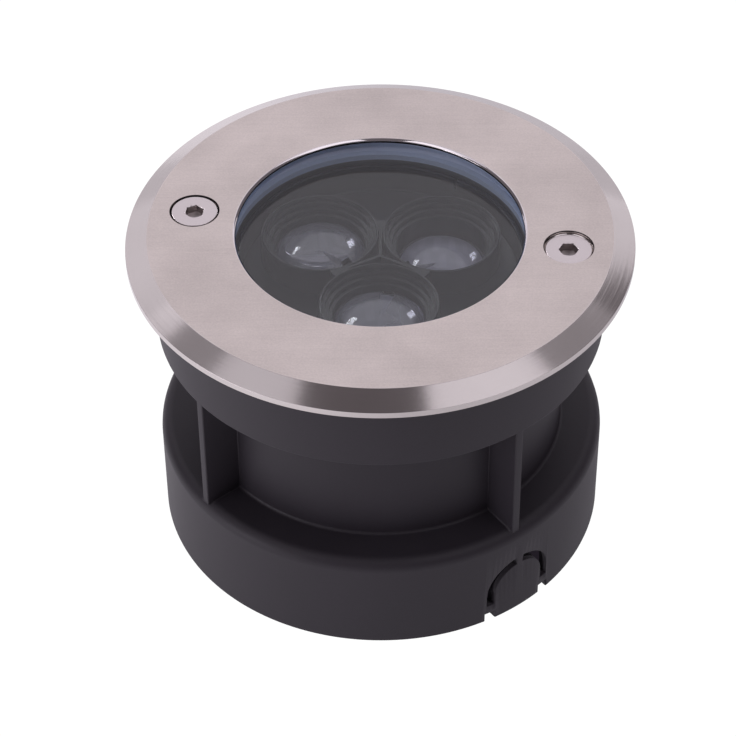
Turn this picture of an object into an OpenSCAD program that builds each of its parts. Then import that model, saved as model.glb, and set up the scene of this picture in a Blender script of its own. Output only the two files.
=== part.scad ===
// In ground well light: a chamfered steel trim ring round a glass window, with
// three lensed light cups below it, in a moulded sleeve that stays in the ground.
// Millimetres, +Z up, origin at the centre of the sleeve's foot, and both cover
// screws on the X axis.

/* [Sleeve] */
// Height of the sleeve, from its foot to the rim that carries the trim ring
sleeve_height = 79.6; // [77:0.2:90]
// Outer diameter of the rim band
band_d = 107.4; // [106:0.2:112]
// Height of the rim band
band_height = 20.8; // [19:0.2:26]
// Outer diameter of the base skirt
base_d = 109.2; // [107:0.2:116]
// Height of the base skirt, foot to shelf
base_height = 27; // [23:0.5:34]
// Radius of the skirt's rounded shoulder
shoulder_r = 3; // [1:0.5:5]
// Wall of the rim band and of the skirt
sleeve_wall = 2.6; // [2:0.1:3.2]
// Outer diameter of the inner cup wall
cup_d = 88.8; // [88:0.1:90]
// Wall of the inner cup
cup_wall = 2.4; // [1.8:0.1:2.8]
// Thickness of the shelf between the cup and the skirt
shelf_thickness = 2.6; // [2:0.1:4]
// Thickness of the ledge between the cup and the band
ledge_thickness = 3; // [2:0.1:5]
// Thickness of a rib
rib_thickness = 2.1; // [1.5:0.1:4]
// Angle of the first rib
rib_angle = -44.5; // [-60:0.5:-30]
// Angle from one rib to the next, the other two lie opposite
rib_spread = 91.6; // [80:0.2:100]
// Fillet at the foot of the cup wall
foot_fillet = 0.8; // [0.3:0.1:2]
// Outer diameter of a boss for a threaded insert
boss_d = 11.8; // [11.4:0.1:12]
// Length of a boss under its insert
boss_floor = 2; // [1:0.5:5]

/* [Cable knock-out] */
// Angle of the first knock-out, the second lies opposite
knockout_angle = -43.6; // [-60:0.2:-30]
// Width over both slots
knockout_w = 18.6; // [14:0.2:24]
// Height of the crown above the foot
knockout_h = 17.9; // [14:0.1:20]
// Width of a slot
slot_w = 2.2; // [1.5:0.1:3]
// Height of a slot's lower end above the foot
slot_foot = 5.4; // [4:0.1:8]
// Width of the bridge at the crown
bridge_w = 1.9; // [1:0.1:4]
// Width of a notch in the foot
notch_w = 3.1; // [2:0.1:4]
// Height of a notch
notch_h = 2.9; // [1:0.1:3.5]

/* [Trim ring] */
// Outer diameter of the trim ring
ring_d = 120; // [114:0.5:140]
// Thickness of the trim ring
ring_thickness = 4.4; // [4:0.1:6]
// Height of the upright edge under the chamfer
ring_edge = 1.7; // [1:0.1:2.5]
// Width of the chamfer, seen from above
ring_chamfer = 5.1; // [2:0.1:6]
// Diameter of the window
window_d = 68; // [66:0.2:70]
// Chamfer of the ring's edge round the window
window_edge = 0.5; // [0.2:0.1:0.8]
// Thickness of the lip over the glass
ring_lip = 1.1; // [0.8:0.1:2]

/* [Window] */
// Diameter of the glass
glass_d = 73.2; // [72:0.1:73.6]
// Thickness of the glass
glass_thickness = 8; // [6:0.5:10]
// Thickness of the gasket above the glass
gasket_lip = 0.35; // [0.3:0.05:0.8]
// Thickness of the gasket below the glass
gasket_seat = 1.5; // [1:0.1:2.5]
// Thickness of the gasket round the glass
gasket_wall = 1.8; // [1:0.1:1.9]
// Distance of the gasket's upper lip behind the window's edge
gasket_inset = 0.3; // [0:0.05:1]

/* [Cover screws] */
// Diameter of the circle on which the screws stand
screw_circle_d = 89; // [88.6:0.1:89.4]
// Diameter of the thread
thread_d = 6; // [5:0.5:6]
// Diameter of the screw head
head_d = 10.9; // [10:0.1:11.2]
// Height of the head's upright rim
head_rim = 0.3; // [0.2:0.1:0.6]
// Width over flats of the key socket
key_af = 4; // [3:0.5:5]
// Depth of the key socket
key_depth = 1.9; // [1.2:0.1:2.2]
// Depth of the seated right head below the ring's top face
head_sink = 0.7; // [0.3:0.1:0.9]
// Height by which the left screw stands above its seat
left_rise = 0.55; // [0:0.05:0.6]
// Turn of the right screw's key socket
right_key_turn = 7.5; // [0:0.5:60]
// Turn of the left screw's key socket
left_key_turn = 30; // [0:0.5:60]
// Length of thread held in the insert
thread_hold = 5.9; // [4:0.1:6]
// Depth of a threaded insert below the ledge
insert_sink = 1.7; // [1.5:0.1:2.5]
// Width of the groove round an insert
insert_groove_w = 1; // [0.5:0.1:2]
// Depth of the groove round an insert
insert_groove_depth = 0.4; // [0.2:0.1:0.8]
// Outer diameter of a threaded insert
insert_d = 8.6; // [8:0.1:9]
// Outer diameter of a captive clip
clip_d = 8.4; // [7.6:0.1:9]
// Thickness of a captive clip
clip_thickness = 0.8; // [0.5:0.1:1]
// Depth of the screw's groove for its clip
clip_groove = 0.3; // [0.2:0.05:0.5]

/* [Lamp body] */
// Thickness of the flange
flange_thickness = 3; // [2.5:0.1:3.2]
// Gap between the flange and the sleeve
flange_gap = 0.7; // [0.4:0.1:1.5]
// Inner diameter of the light chamber
chamber_d = 69.8; // [69.6:0.1:70.4]
// Wall of the lamp body
body_wall = 3; // [2:0.1:3.2]
// Wall of the collar round the gasket
collar_wall = 1.7; // [1.2:0.1:2]
// Thickness of the collar under the gasket
collar_floor = 1.5; // [1:0.1:2.5]
// Thickness of the floor under the light board
floor_thickness = 4; // [3:0.5:5]
// Depth of the driver chamber
driver_depth = 20; // [19:0.5:21]
// Number of cooling fins
fin_count = 24; // [8:1:36]
// Thickness of a cooling fin
fin_thickness = 1.8; // [1.2:0.1:3]
// Depth of a cooling fin
fin_depth = 4.3; // [2:0.1:4.5]
// Distance of a fin's edge inside the barrel's surface
fin_step = 0.5; // [0:0.1:1]

/* [Lens holder] */
// Distance of the cup rims below the glass
cup_drop = 2.6; // [1:0.1:4]
// Height of a cup above the holder's floor
cup_height = 7.2; // [6:0.1:9]
// Diameter of the circle of cups
cup_circle_d = 33.5; // [33:0.1:34.4]
// Angle of the right cup
cup_angle = 37.95; // [0:0.05:120]
// Outer diameter of a cup
cup_outer_d = 28.1; // [27:0.1:28.4]
// Diameter of a cup's mouth
cup_mouth_d = 26.9; // [25:0.1:27]
// Diameter of a cup's bore
cup_bore_d = 21.7; // [21.5:0.1:23]
// Depth of the stepped mouth
mouth_depth = 3.95; // [2:0.05:4.5]
// Number of steps in the mouth
mouth_steps = 3; // [1:1:4]
// Gap between a cup and the light board
cup_gap = 3; // [2:0.1:4]
// Width of the ledge under a lens
lens_ledge = 1.2; // [0.6:0.1:2]
// Outer diameter of the holder
holder_d = 69; // [68:0.2:69.2]
// Wall of the holder's rim
holder_wall = 1.1; // [0.8:0.1:1.5]
// Height of the holder's rim above the cups
rim_rise = 0.15; // [0:0.05:0.5]
// Thickness of the webs that join the cups
web_thickness = 0.7; // [0.5:0.1:1.5]
// Length of a web's flared end
flare_l = 4.6; // [3:0.1:5]
// Width of a web's flared end
flare_w = 2.6; // [1.5:0.1:3.5]
// Thickness of the holder's floor
holder_floor = 2; // [1:0.1:2.5]
// Height of the posts under the floor
post_height = 5.75; // [5:0.05:7]
// Diameter of a post
post_d = 6.8; // [6:0.1:9]
// Distance of the posts' screws from the wall of the driver chamber below
post_inset = 4.6; // [4:0.1:5.2]
// Width of the stop that keeps a lens from turning
stop_w = 2.4; // [1.5:0.1:4]
// Reach of a stop from the cup's wall
stop_reach = 2.8; // [2:0.1:3.5]
// Height of a stop above the edge of its lens
stop_rise = 0.3; // [0:0.1:1]
// Clearance round a stop in the notch of its lens
stop_fit = 0.1; // [0.05:0.05:0.3]
// Angle of a stop, off the line from its cup to the axis
stop_turn = -11.5; // [-30:0.5:30]
// Angle of a slot in the holder's rim, past its post
rim_slot_turn = 87.5; // [70:0.5:100]
// Width of a slot in the holder's rim
rim_slot_w = 0.5; // [0.3:0.1:1.5]
// Depth of a slot in the holder's rim
rim_slot_depth = 3; // [2:0.5:6]

/* [Lenses] */
// Diameter of a lens
lens_d = 21.2; // [20:0.1:21.4]
// Height of a lens's edge
lens_edge = 1.6; // [1:0.1:2]
// Height of the dome above the edge
lens_dome = 3.6; // [2.5:0.1:4]
// Depth of the left and front lens edges below the cup rims
lens_drop = 5.75; // [5:0.05:7]
// Depth of the right lens edge below the cup rim
right_drop = 9.35; // [6:0.05:9.6]

/* [Light board] */
// Diameter of the light board
board_d = 64; // [60:0.5:68]
// Thickness of a circuit board
board_thickness = 1.6; // [1:0.1:2]
// Thickness of the thermal pad
pad_thickness = 0.5; // [0.3:0.1:1]
// Width of an emitter's base
emitter_w = 5; // [3:0.1:6]
// Height of an emitter's base
emitter_base = 0.8; // [0.5:0.1:1]
// Diameter of an emitter's dome
emitter_dome_d = 3.4; // [2:0.1:4]

/* [Driver] */
// Diameter of the driver board
driver_d = 48; // [44:0.5:49]
// Distance of the driver board below the chamber's floor
driver_drop = 5.3; // [4:0.1:5.5]
// Turn of the driver board's posts, off the holder's
driver_turn = -15; // [-20:1:-10]
// Distance of the driver's screws from their board's edge
driver_margin = 4; // [3.5:0.1:4.5]
// Length of the transformer
transformer_l = 15; // [12:0.5:16]
// Width of the transformer
transformer_w = 13; // [10:0.5:14]
// Height of the transformer
transformer_h = 9; // [6:0.1:9.4]
// Distance of the transformer from the board's edge
transformer_inset = 6; // [5:0.5:7]
// Diameter of a capacitor
capacitor_d = 8; // [6:0.1:8.4]
// Height of a capacitor
capacitor_h = 9.2; // [6:0.1:9.4]
// Distance of a capacitor from the axis, to its side
capacitor_x = 15; // [13:0.5:16]
// Distance of a capacitor from the axis, to the back
capacitor_y = 3; // [2:0.5:4]
// Length of the driver's chip
chip_l = 6; // [4:0.5:8]
// Width of the driver's chip
chip_w = 5; // [4:0.5:6]
// Height of the driver's chip
chip_h = 1.8; // [1:0.1:2.5]
// Length of the terminal block
terminal_l = 15; // [10:0.5:16]
// Width of the terminal block
terminal_w = 8; // [6:0.5:9]
// Height of the terminal block
terminal_h = 8.4; // [6:0.1:9.4]
// Distance of the terminal block from the board's edge
terminal_inset = 6; // [5:0.5:7]
// Diameter of a wire hole in the terminal block
wire_hole_d = 2.6; // [2:0.1:3]
// Depth of a wire hole
wire_hole_l = 4.5; // [2:0.5:6]
// Diameter of a lead between the boards
lead_d = 1.6; // [1:0.1:2.4]

/* [Lower cover] */
// Thickness of the lower cover
cover_thickness = 3.5; // [3:0.1:4]
// Diameter of the lower cover
cover_d = 72; // [69:0.5:75]
// Distance of the cover's bolts inside the driver chamber's wall
bolt_inset = 2.1; // [1.9:0.1:2.4]
// Width of the seal's groove
groove_w = 1.7; // [1:0.1:1.9]
// Depth of the seal's groove
groove_depth = 1; // [0.5:0.1:1.5]

/* [Small fixings] */
// Thread diameter of the small screws
fix_d = 3; // [2.5:0.1:3.4]
// Head diameter of the small screws
fix_head_d = 5.6; // [5:0.1:6]
// Head height of the small screws
fix_head_h = 1.9; // [1.5:0.1:2.2]
// Width over flats of the small screws' socket
fix_key_af = 2; // [1.5:0.1:2.5]
// Depth of the small screws' socket
fix_key_depth = 0.95; // [0.8:0.05:1.2]
// Depth of each small threaded hole
fix_hold = 3; // [2.5:0.1:3.2]
// Distance of a small screw's tip from the end of its hole
fix_end = 0.5; // [0.2:0.1:1]

/* [Cable gland] */
// Thread diameter in the cover
gland_thread_d = 16; // [14:0.5:16.5]
// Width over flats of the gland body
gland_af = 22; // [20:0.5:24]
// Height of the gland's hexagon
gland_hex_h = 4.5; // [3:0.1:5]
// Length of the gland's thread above the cover
gland_stub = 3; // [2:0.5:4]
// Thickness of the washer under the gland
gland_washer = 1; // [0.8:0.1:2]
// Length of the lower spigot
spigot_l = 7; // [6:0.1:8]
// Diameter of the lower spigot
spigot_d = 14.6; // [14:0.1:15]
// Inner diameter of the gland
gland_bore_d = 10.4; // [10:0.1:11]
// Diameter of the cable hole in the rubber seal
cable_d = 8; // [5:0.1:8.4]
// Height of the seal's shoulder below the spigot
seal_drop = 1.8; // [1:0.1:2.4]
// Width of the gap between the seal's shoulder and the nut's wall
shoulder_gap = 1; // [0.8:0.1:1.4]
// Width over flats of the nut
nut_af = 20; // [19:0.5:22]
// Thickness of the nut's end
nut_end = 1.5; // [1:0.1:2]
// Diameter of the hole in the nut's end
nut_hole_d = 9.6; // [9:0.1:10]
// Gap between the nut and the gland's hexagon
nut_gap = 0.8; // [0.5:0.1:2]
// Thickness of the thrust ring under the seal
thrust_h = 1.2; // [0.8:0.1:1.6]
// Inner diameter of the thrust ring
thrust_bore_d = 9.2; // [8.8:0.1:9.6]

/* [Hidden] */
$fn = 96;
// Clearance between a screw and its threaded hole, and between gland threads
thread_fit = 0.05;
// Clearance of a screw in a plain hole
hole_fit = 0.3;
// Clearance between the head's cone and its seat
cone_fit = 0.1;
// Radial gap round a screw head
head_gap = 0.3;
// Gap round a gasket, a lens or a holder in its recess
seat_fit = 0.1;
// Gap above the bosses of the cover screws
boss_gap = 0.55;
// Gap under a captive clip
clip_gap = 0.2;
// Radial gap round a captive clip
clip_side_gap = 0.4;
// Radial gap between the gland's thrust ring and its nut
thrust_gap = 0.65;
// Wall round a small threaded hole in the driver chamber
post_wall = 1.5;
// Distance by which a piece runs into the one that it grows from
root = 0.8;
// Cuts run past the faces by this much
cut = 0.5;

// Heights, from the top down
top_z = sleeve_height + ring_thickness;
glass_top = top_z - ring_lip - gasket_lip;
glass_bottom = glass_top - glass_thickness;
seat_z = glass_bottom - gasket_seat;
flange_under = sleeve_height - flange_thickness;
collar_under = seat_z - collar_floor;
ledge_z = collar_under - boss_gap;
rim_z = glass_bottom - cup_drop;
holder_z = rim_z - cup_height;
holder_under = holder_z - holder_floor;
board_z = holder_under - post_height;
pad_z = board_z - board_thickness;
floor_z = pad_z - pad_thickness;
floor_under = floor_z - floor_thickness;
body_under = floor_under - driver_depth;
cover_under = body_under - cover_thickness;
driver_z = floor_under - driver_drop;
driver_under = driver_z - board_thickness;

// Radii
band_r = band_d / 2;
base_r = base_d / 2;
cup_r = cup_d / 2;
cup_bore_r = cup_r - cup_wall;
band_bore_r = band_r - sleeve_wall;
gasket_r = glass_d / 2 + gasket_wall;
pocket_r = gasket_r + seat_fit;
collar_r = pocket_r + collar_wall;
barrel_r = chamber_d / 2 + body_wall;
core_r = barrel_r - fin_depth;
driver_bore_r = core_r - body_wall;
post_r = driver_bore_r - post_inset;
bolt_r = driver_bore_r - bolt_inset;
flange_r = band_bore_r - flange_gap;
screw_r = screw_circle_d / 2;
counter_r = head_d / 2 + head_gap;
hole_r = thread_d / 2 + hole_fit;

// Cover screws: the clip lies just above the insert
head_top = top_z - head_sink;
head_h = head_rim + (head_d - thread_d) / 2;
insert_top = ledge_z - insert_sink;
insert_under = insert_top - thread_hold;
clip_z = insert_top + clip_gap;
clip_well_r = clip_d / 2 + clip_side_gap;
boss_under = insert_under - boss_floor;
groove_low = (insert_under + insert_top - insert_groove_w) / 2;
// Clip side and screw side: right is 0, left is 180
SIDES = [0, 180];
// Fixings of the ring stand between the cover screws
flange_fix = [for (k = [0 : 3]) 45 + 90 * k];

// Ribs, knock-outs and cups
shelf_under = base_height - shelf_thickness;
rib_top = ledge_z - ledge_thickness / 2;
ribs = [rib_angle, rib_angle + rib_spread, rib_angle + 180, rib_angle + rib_spread + 180];
knockouts = [knockout_angle, knockout_angle + 180];
cups = [cup_angle + 120, cup_angle, cup_angle - 120];
drops = [lens_drop, right_drop, lens_drop];
posts = [for (k = [0 : 2]) cup_angle - 60 + 120 * k];
bolts = [for (k = [0 : 2]) cup_angle + 120 * k];
cup_circle_r = cup_circle_d / 2;
cup_under = board_z + cup_gap;
// A web is narrow up to where two cups come closest, and flares beyond
web_neck = cup_circle_r * cos(60);
web_end = web_neck + flare_l;
lens_r = lens_d / 2;
dome_r = (lens_r * lens_r + lens_dome * lens_dome) / (2 * lens_dome);
seat_bore_r = lens_r - lens_ledge;
stop_r = cup_bore_d / 2 - stop_reach;

// Driver: two leads side by side at the axis, and two posts that carry the board
lead_x = lead_d;
bolt_boss_r = fix_d / 2 + 1.4 * post_wall;
bolt_hold = fix_hold + cover_thickness - fix_head_h;
lead_hole_r = lead_x + lead_d / 2 + 2 * hole_fit;
driver_post_r = driver_d / 2 - driver_margin;
driver_posts = [posts[0] + driver_turn, posts[0] + driver_turn + 180];

terminal_y = driver_d / 2 - terminal_inset - terminal_w;

// Gland
gland_top = body_under + gland_stub;
gland_z = cover_under - gland_washer;
spigot_z = gland_z - gland_hex_h;
spigot_under = spigot_z - spigot_l;
seal_under = spigot_under - seal_drop;
thrust_under = seal_under - thrust_h;
nut_top = spigot_z - nut_gap;
nut_under = thrust_under - nut_end;
nut_bore_r = spigot_d / 2 + thread_fit;
gland_bore_r = gland_bore_d / 2;
groove_r = (core_r + driver_bore_r) / 2;

// Ring of revolution between two radii and two heights
module tube(inner, outer, low, high) {
    translate([0, 0, low]) difference() {
        cylinder(r = outer, h = high - low);
        translate([0, 0, -cut]) cylinder(r = inner, h = high - low + 2 * cut);
    }
}

// Solid disc between two heights
module disc(r, low, high) {
    translate([0, 0, low]) cylinder(r = r, h = high - low);
}

// Hexagonal prism, sized over its flats
module hex(af, low, high) {
    translate([0, 0, low]) cylinder(d = af / cos(30), h = high - low, $fn = 6);
}

// Places children at an angle and a radius
module at(angle, radius) {
    rotate([0, 0, angle]) translate([radius, 0, 0]) children();
}

// Small socket screw with its head down: the face it seats on, and its tip
module small_screw(seat, tip) difference() {
    union() {
        disc(fix_head_d / 2, seat - fix_head_h, seat);
        disc(fix_d / 2, seat - cut, tip);
    }
    hex(fix_key_af, seat - fix_head_h - cut, seat - fix_head_h + fix_key_depth);
}

// Arch of the knock-out, seen face on, drawn in from its outline by a margin
module arch(margin) {
    r = knockout_w / 2 - margin;
    spring = knockout_h - knockout_w / 2;
    translate([-r, 0]) square([2 * r, spring]);
    translate([0, spring]) circle(r = r);
}

// Slots and foot notches of one knock-out, cut through the skirt
module knockout_cut() {
    reach = sleeve_wall * 3;
    notch_x = knockout_w / 2 - slot_w / 2;
    translate([base_r - reach, 0, 0]) rotate([90, 0, 90]) linear_extrude(2 * reach) {
        difference() {
            arch(0);
            arch(slot_w);
            translate([-knockout_w, -cut]) square([2 * knockout_w, slot_foot + cut]);
            translate([-bridge_w / 2, 0]) square([bridge_w, knockout_h + cut]);
        }
        for (side = [-1, 1])
            translate([side * notch_x - notch_w / 2, -cut]) square([notch_w, notch_h + cut]);
    }
}

// Section of the sleeve: band, ledge, cup wall, shelf and skirt
module sleeve_section() {
    translate([band_bore_r, sleeve_height - band_height]) square([sleeve_wall, band_height]);
    translate([cup_bore_r, ledge_z - ledge_thickness])
        square([band_r - cup_bore_r - sleeve_wall / 2, ledge_thickness]);
    translate([cup_bore_r, shelf_under]) square([cup_wall, ledge_z - shelf_under]);
    translate([cup_bore_r, shelf_under])
        square([base_r - shoulder_r - cup_bore_r, shelf_thickness]);
    translate([base_r - sleeve_wall, 0]) square([sleeve_wall, base_height - shoulder_r]);
    intersection() {
        translate([base_r - shoulder_r, base_height - shoulder_r]) circle(r = shoulder_r);
        translate([base_r - shoulder_r, base_height - shoulder_r])
            square([shoulder_r, shoulder_r]);
    }
    difference() {
        translate([cup_r - cut, base_height - cut])
            square([foot_fillet + cut, foot_fillet + cut]);
        translate([cup_r + foot_fillet, base_height + foot_fillet]) circle(r = foot_fillet);
    }
}

module mounting_sleeve() color([0.16, 0.15, 0.16]) difference() {
    union() {
        rotate_extrude() sleeve_section();
        difference() {
            for (a = ribs) rotate([0, 0, a])
                translate([cup_r - cup_wall / 2, -rib_thickness / 2, shelf_under])
                    cube([band_r - cup_r + cup_wall, rib_thickness, rib_top - shelf_under]);
            tube(band_r, 2 * band_r, 0, top_z);
        }
        for (a = SIDES) at(a, screw_r) disc(boss_d / 2, boss_under, ledge_z);
    }
    for (a = SIDES) at(a, screw_r) {
        disc(insert_d / 2, insert_under, ledge_z);
        disc(clip_well_r, insert_top, ledge_z + cut);
        disc(thread_d / 2 + thread_fit, insert_under - boss_floor / 2, ledge_z);
    }
    for (a = knockouts) rotate([0, 0, a]) knockout_cut();
}

module threaded_inserts() color([0.78, 0.62, 0.30]) for (a = SIDES)
    at(a, screw_r) difference() {
        tube(thread_d / 2 + thread_fit, insert_d / 2, insert_under, insert_top);
        tube(insert_d / 2 - insert_groove_depth, insert_d, groove_low,
            groove_low + insert_groove_w);
    }

// Hole, cone and head recess of a cover screw, on the screw's axis
module countersink() {
    counter_depth = head_sink + head_rim - 2 * cone_fit;
    drop = counter_r - hole_r;
    disc(hole_r, sleeve_height - cut, top_z);
    disc(counter_r, top_z - counter_depth, top_z + cut);
    translate([0, 0, top_z - counter_depth - drop])
        cylinder(r1 = hole_r, r2 = counter_r, h = drop);
}

module trim_ring() color([0.76, 0.73, 0.72]) difference() {
    rotate_extrude() polygon([
        [window_d / 2, top_z - window_edge],
        [window_d / 2 + window_edge, top_z],
        [ring_d / 2 - ring_chamfer, top_z],
        [ring_d / 2, sleeve_height + ring_edge],
        [ring_d / 2, sleeve_height],
        [pocket_r, sleeve_height],
        [pocket_r, top_z - ring_lip],
        [window_d / 2, top_z - ring_lip]]);
    for (a = SIDES) at(a, screw_r) countersink();
    for (a = flange_fix) at(a, screw_r)
        disc(fix_d / 2 + thread_fit, sleeve_height - cut, sleeve_height + fix_hold);
}

module glass_gasket() color([0.44, 0.48, 0.54]) rotate_extrude() polygon([
    [window_d / 2 + gasket_inset, glass_top + gasket_lip],
    [gasket_r, glass_top + gasket_lip],
    [gasket_r, seat_z],
    [chamber_d / 2, seat_z],
    [chamber_d / 2, glass_bottom],
    [glass_d / 2, glass_bottom],
    [glass_d / 2, glass_top],
    [window_d / 2 + gasket_inset, glass_top]]);

module window_glass() color([0.75, 0.82, 0.85, 0.35])
    disc(glass_d / 2, glass_bottom, glass_top);

module lamp_body() color([0.55, 0.56, 0.58]) difference() {
    union() {
        disc(flange_r, flange_under, sleeve_height);
        disc(collar_r, collar_under, sleeve_height);
        disc(barrel_r, floor_under, sleeve_height);
        disc(core_r, body_under, floor_z);
        for (k = [0 : fin_count - 1]) rotate([0, 0, 360 / fin_count * k])
            translate([core_r - root, -fin_thickness / 2, body_under])
                cube([fin_depth - fin_step + root, fin_thickness, floor_z - body_under]);
    }
    disc(pocket_r, seat_z, sleeve_height + cut);
    disc(chamber_d / 2, floor_z, sleeve_height);
    difference() {
        disc(driver_bore_r, body_under - cut, floor_under);
        for (a = bolts) at(a, bolt_r) disc(bolt_boss_r, body_under, floor_under);
        for (a = driver_posts) at(a, driver_post_r)
            disc(fix_d / 2 + post_wall, driver_z, floor_under);
    }
    for (a = bolts) at(a, bolt_r)
        disc(fix_d / 2 + thread_fit, body_under - cut, body_under + bolt_hold);
    for (a = driver_posts) at(a, driver_post_r)
        disc(fix_d / 2 + thread_fit, driver_z - cut, driver_z + fix_hold);
    for (a = posts) at(a, post_r)
        disc(fix_d / 2 + hole_fit, floor_under - cut, floor_z + cut);
    disc(lead_hole_r, floor_under - cut, floor_z + cut);
    for (a = SIDES) at(a, screw_r) disc(hole_r, flange_under - cut, sleeve_height + cut);
    for (a = flange_fix) at(a, screw_r)
        disc(fix_d / 2 + hole_fit, flange_under - cut, sleeve_height + cut);
}

module ring_fixings() color([0.70, 0.70, 0.72]) for (a = flange_fix)
    at(a, screw_r) small_screw(flange_under, sleeve_height + fix_hold - fix_end);

// Stepped inside of a cup, from its mouth down to the lens seat
module cup_inside(drop) {
    seat = rim_z - drop - lens_edge;
    step = mouth_depth / mouth_steps;
    taper = (cup_mouth_d - cup_bore_d) / 2 / mouth_steps;
    for (k = [0 : mouth_steps - 1])
        disc(cup_mouth_d / 2 - taper * k, rim_z - step * (k + 1), rim_z + cut);
    disc(cup_bore_d / 2, seat, rim_z);
    disc(seat_bore_r, cup_under - cut, rim_z);
}

// Stop that stands in a lens's notch, on the side of the cup next to the axis
module lens_stop(drop) {
    translate([-cup_bore_d / 2 - root / 2, -stop_w / 2, cup_under])
        cube([stop_reach + root / 2, stop_w, rim_z - drop + stop_rise - cup_under]);
}

module lens_holder() color([0.13, 0.13, 0.14]) {
    difference() {
        union() {
            disc(holder_d / 2, holder_under, holder_z);
            tube(holder_d / 2 - holder_wall, holder_d / 2, holder_under, rim_z + rim_rise);
            for (a = cups) at(a, cup_circle_r) disc(cup_outer_d / 2, cup_under, rim_z);
            for (a = posts) {
                at(a, post_r) disc(post_d / 2, board_z, holder_z);
                rotate([0, 0, a]) translate([0, 0, holder_z - cut])
                    linear_extrude(rim_z - holder_z + cut) polygon([
                        [0, -web_thickness / 2], [web_neck, -web_thickness / 2],
                        [web_end, -flare_w / 2], [web_end, flare_w / 2],
                        [web_neck, web_thickness / 2], [0, web_thickness / 2]]);
            }
        }
        for (k = [0 : 2]) at(cups[k], cup_circle_r) cup_inside(drops[k]);
        for (a = posts) {
            at(a, post_r)
                disc(fix_d / 2 + thread_fit, board_z - cut, board_z + fix_hold);
            rotate([0, 0, a + rim_slot_turn])
                translate([holder_d / 2, 0, rim_z + rim_rise])
                    cube([3 * holder_wall, rim_slot_w, 2 * rim_slot_depth], center = true);
        }
    }
    for (k = [0 : 2]) at(cups[k], cup_circle_r) rotate([0, 0, stop_turn]) lens_stop(drops[k]);
}

module holder_fixings() color([0.70, 0.70, 0.72]) for (a = posts)
    at(a, post_r) small_screw(floor_under, board_z + fix_hold - fix_end);

// Lens: an upright edge under a shallow dome, with a notch for its stop
module lens(k) at(cups[k], cup_circle_r) translate([0, 0, rim_z - drops[k]]) difference() {
    union() {
        translate([0, 0, -lens_edge]) cylinder(r = lens_r, h = lens_edge);
        intersection() {
            translate([0, 0, lens_dome - dome_r]) sphere(r = dome_r);
            translate([0, 0, -cut]) cylinder(r = lens_r, h = lens_dome + 2 * cut);
        }
    }
    notch_w = stop_w + 2 * stop_fit;
    rotate([0, 0, stop_turn]) translate([-lens_d, -notch_w / 2, -lens_edge - cut])
        cube([lens_d - stop_r + stop_fit, notch_w, lens_edge + lens_dome]);
}

module lens_left() color([0.85, 0.87, 0.90, 0.5]) lens(0);
module lens_right() color([0.85, 0.87, 0.90, 0.5]) lens(1);
module lens_front() color([0.85, 0.87, 0.90, 0.5]) lens(2);

// Holes of the posts and of the leads, through the board and the pad
module board_holes() {
    for (a = posts) at(a, post_r)
        disc(fix_d / 2 + hole_fit, floor_z - cut, board_z + cut);
}

module light_board() color([0.88, 0.89, 0.88]) difference() {
    disc(board_d / 2, pad_z, board_z);
    board_holes();
}

module thermal_pad() color([0.62, 0.66, 0.70]) difference() {
    disc(board_d / 2, floor_z, pad_z);
    board_holes();
    disc(lead_hole_r, floor_z - cut, pad_z + cut);
}

// Light source: a square base with a round dome
module emitter(k) at(cups[k], cup_circle_r) translate([0, 0, board_z]) {
    translate([-emitter_w / 2, -emitter_w / 2, 0]) cube([emitter_w, emitter_w, emitter_base]);
    intersection() {
        translate([0, 0, emitter_base]) sphere(d = emitter_dome_d);
        cylinder(d = emitter_w, h = emitter_dome_d + emitter_base);
    }
}

module emitter_left() color([0.93, 0.86, 0.45]) emitter(0);
module emitter_right() color([0.93, 0.86, 0.45]) emitter(1);
module emitter_front() color([0.93, 0.86, 0.45]) emitter(2);

// Two leads run straight up from the driver board to the light board
module lead_positive() color([0.75, 0.12, 0.10])
    translate([lead_x, 0, 0]) disc(lead_d / 2, driver_z, pad_z);
module lead_negative() color([0.10, 0.10, 0.10])
    translate([-lead_x, 0, 0]) disc(lead_d / 2, driver_z, pad_z);

module driver_board() color([0.12, 0.38, 0.20]) difference() {
    disc(driver_d / 2, driver_under, driver_z);
    for (a = driver_posts) at(a, driver_post_r)
        disc(fix_d / 2 + hole_fit, driver_under - cut, driver_z + cut);
}

module driver_fixings() color([0.70, 0.70, 0.72]) for (a = driver_posts)
    at(a, driver_post_r) small_screw(driver_under, driver_z + fix_hold - fix_end);

// Driver parts hang under their board, round the gland's thread
module transformer() color([0.80, 0.66, 0.20])
    translate([-transformer_l / 2, transformer_inset - driver_d / 2, driver_under - transformer_h])
        cube([transformer_l, transformer_w, transformer_h]);

module capacitor(side) translate([side * capacitor_x, capacitor_y, 0])
    disc(capacitor_d / 2, driver_under - capacitor_h, driver_under);
module capacitor_input() color([0.15, 0.20, 0.40]) capacitor(-1);
module capacitor_output() color([0.15, 0.20, 0.40]) capacitor(1);

module driver_chip() color([0.08, 0.08, 0.08])
    translate([-chip_l / 2, 1, driver_under - chip_h]) cube([chip_l, chip_w, chip_h]);

module terminal_block() color([0.20, 0.45, 0.30]) difference() {
    translate([-terminal_l / 2, terminal_y, driver_under - terminal_h])
        cube([terminal_l, terminal_w, terminal_h]);
    for (k = [-1, 0, 1])
        translate([k * terminal_l / 3, terminal_y - cut, driver_under - terminal_h * 0.7])
            rotate([-90, 0, 0]) cylinder(d = wire_hole_d, h = wire_hole_l + cut);
}

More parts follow.
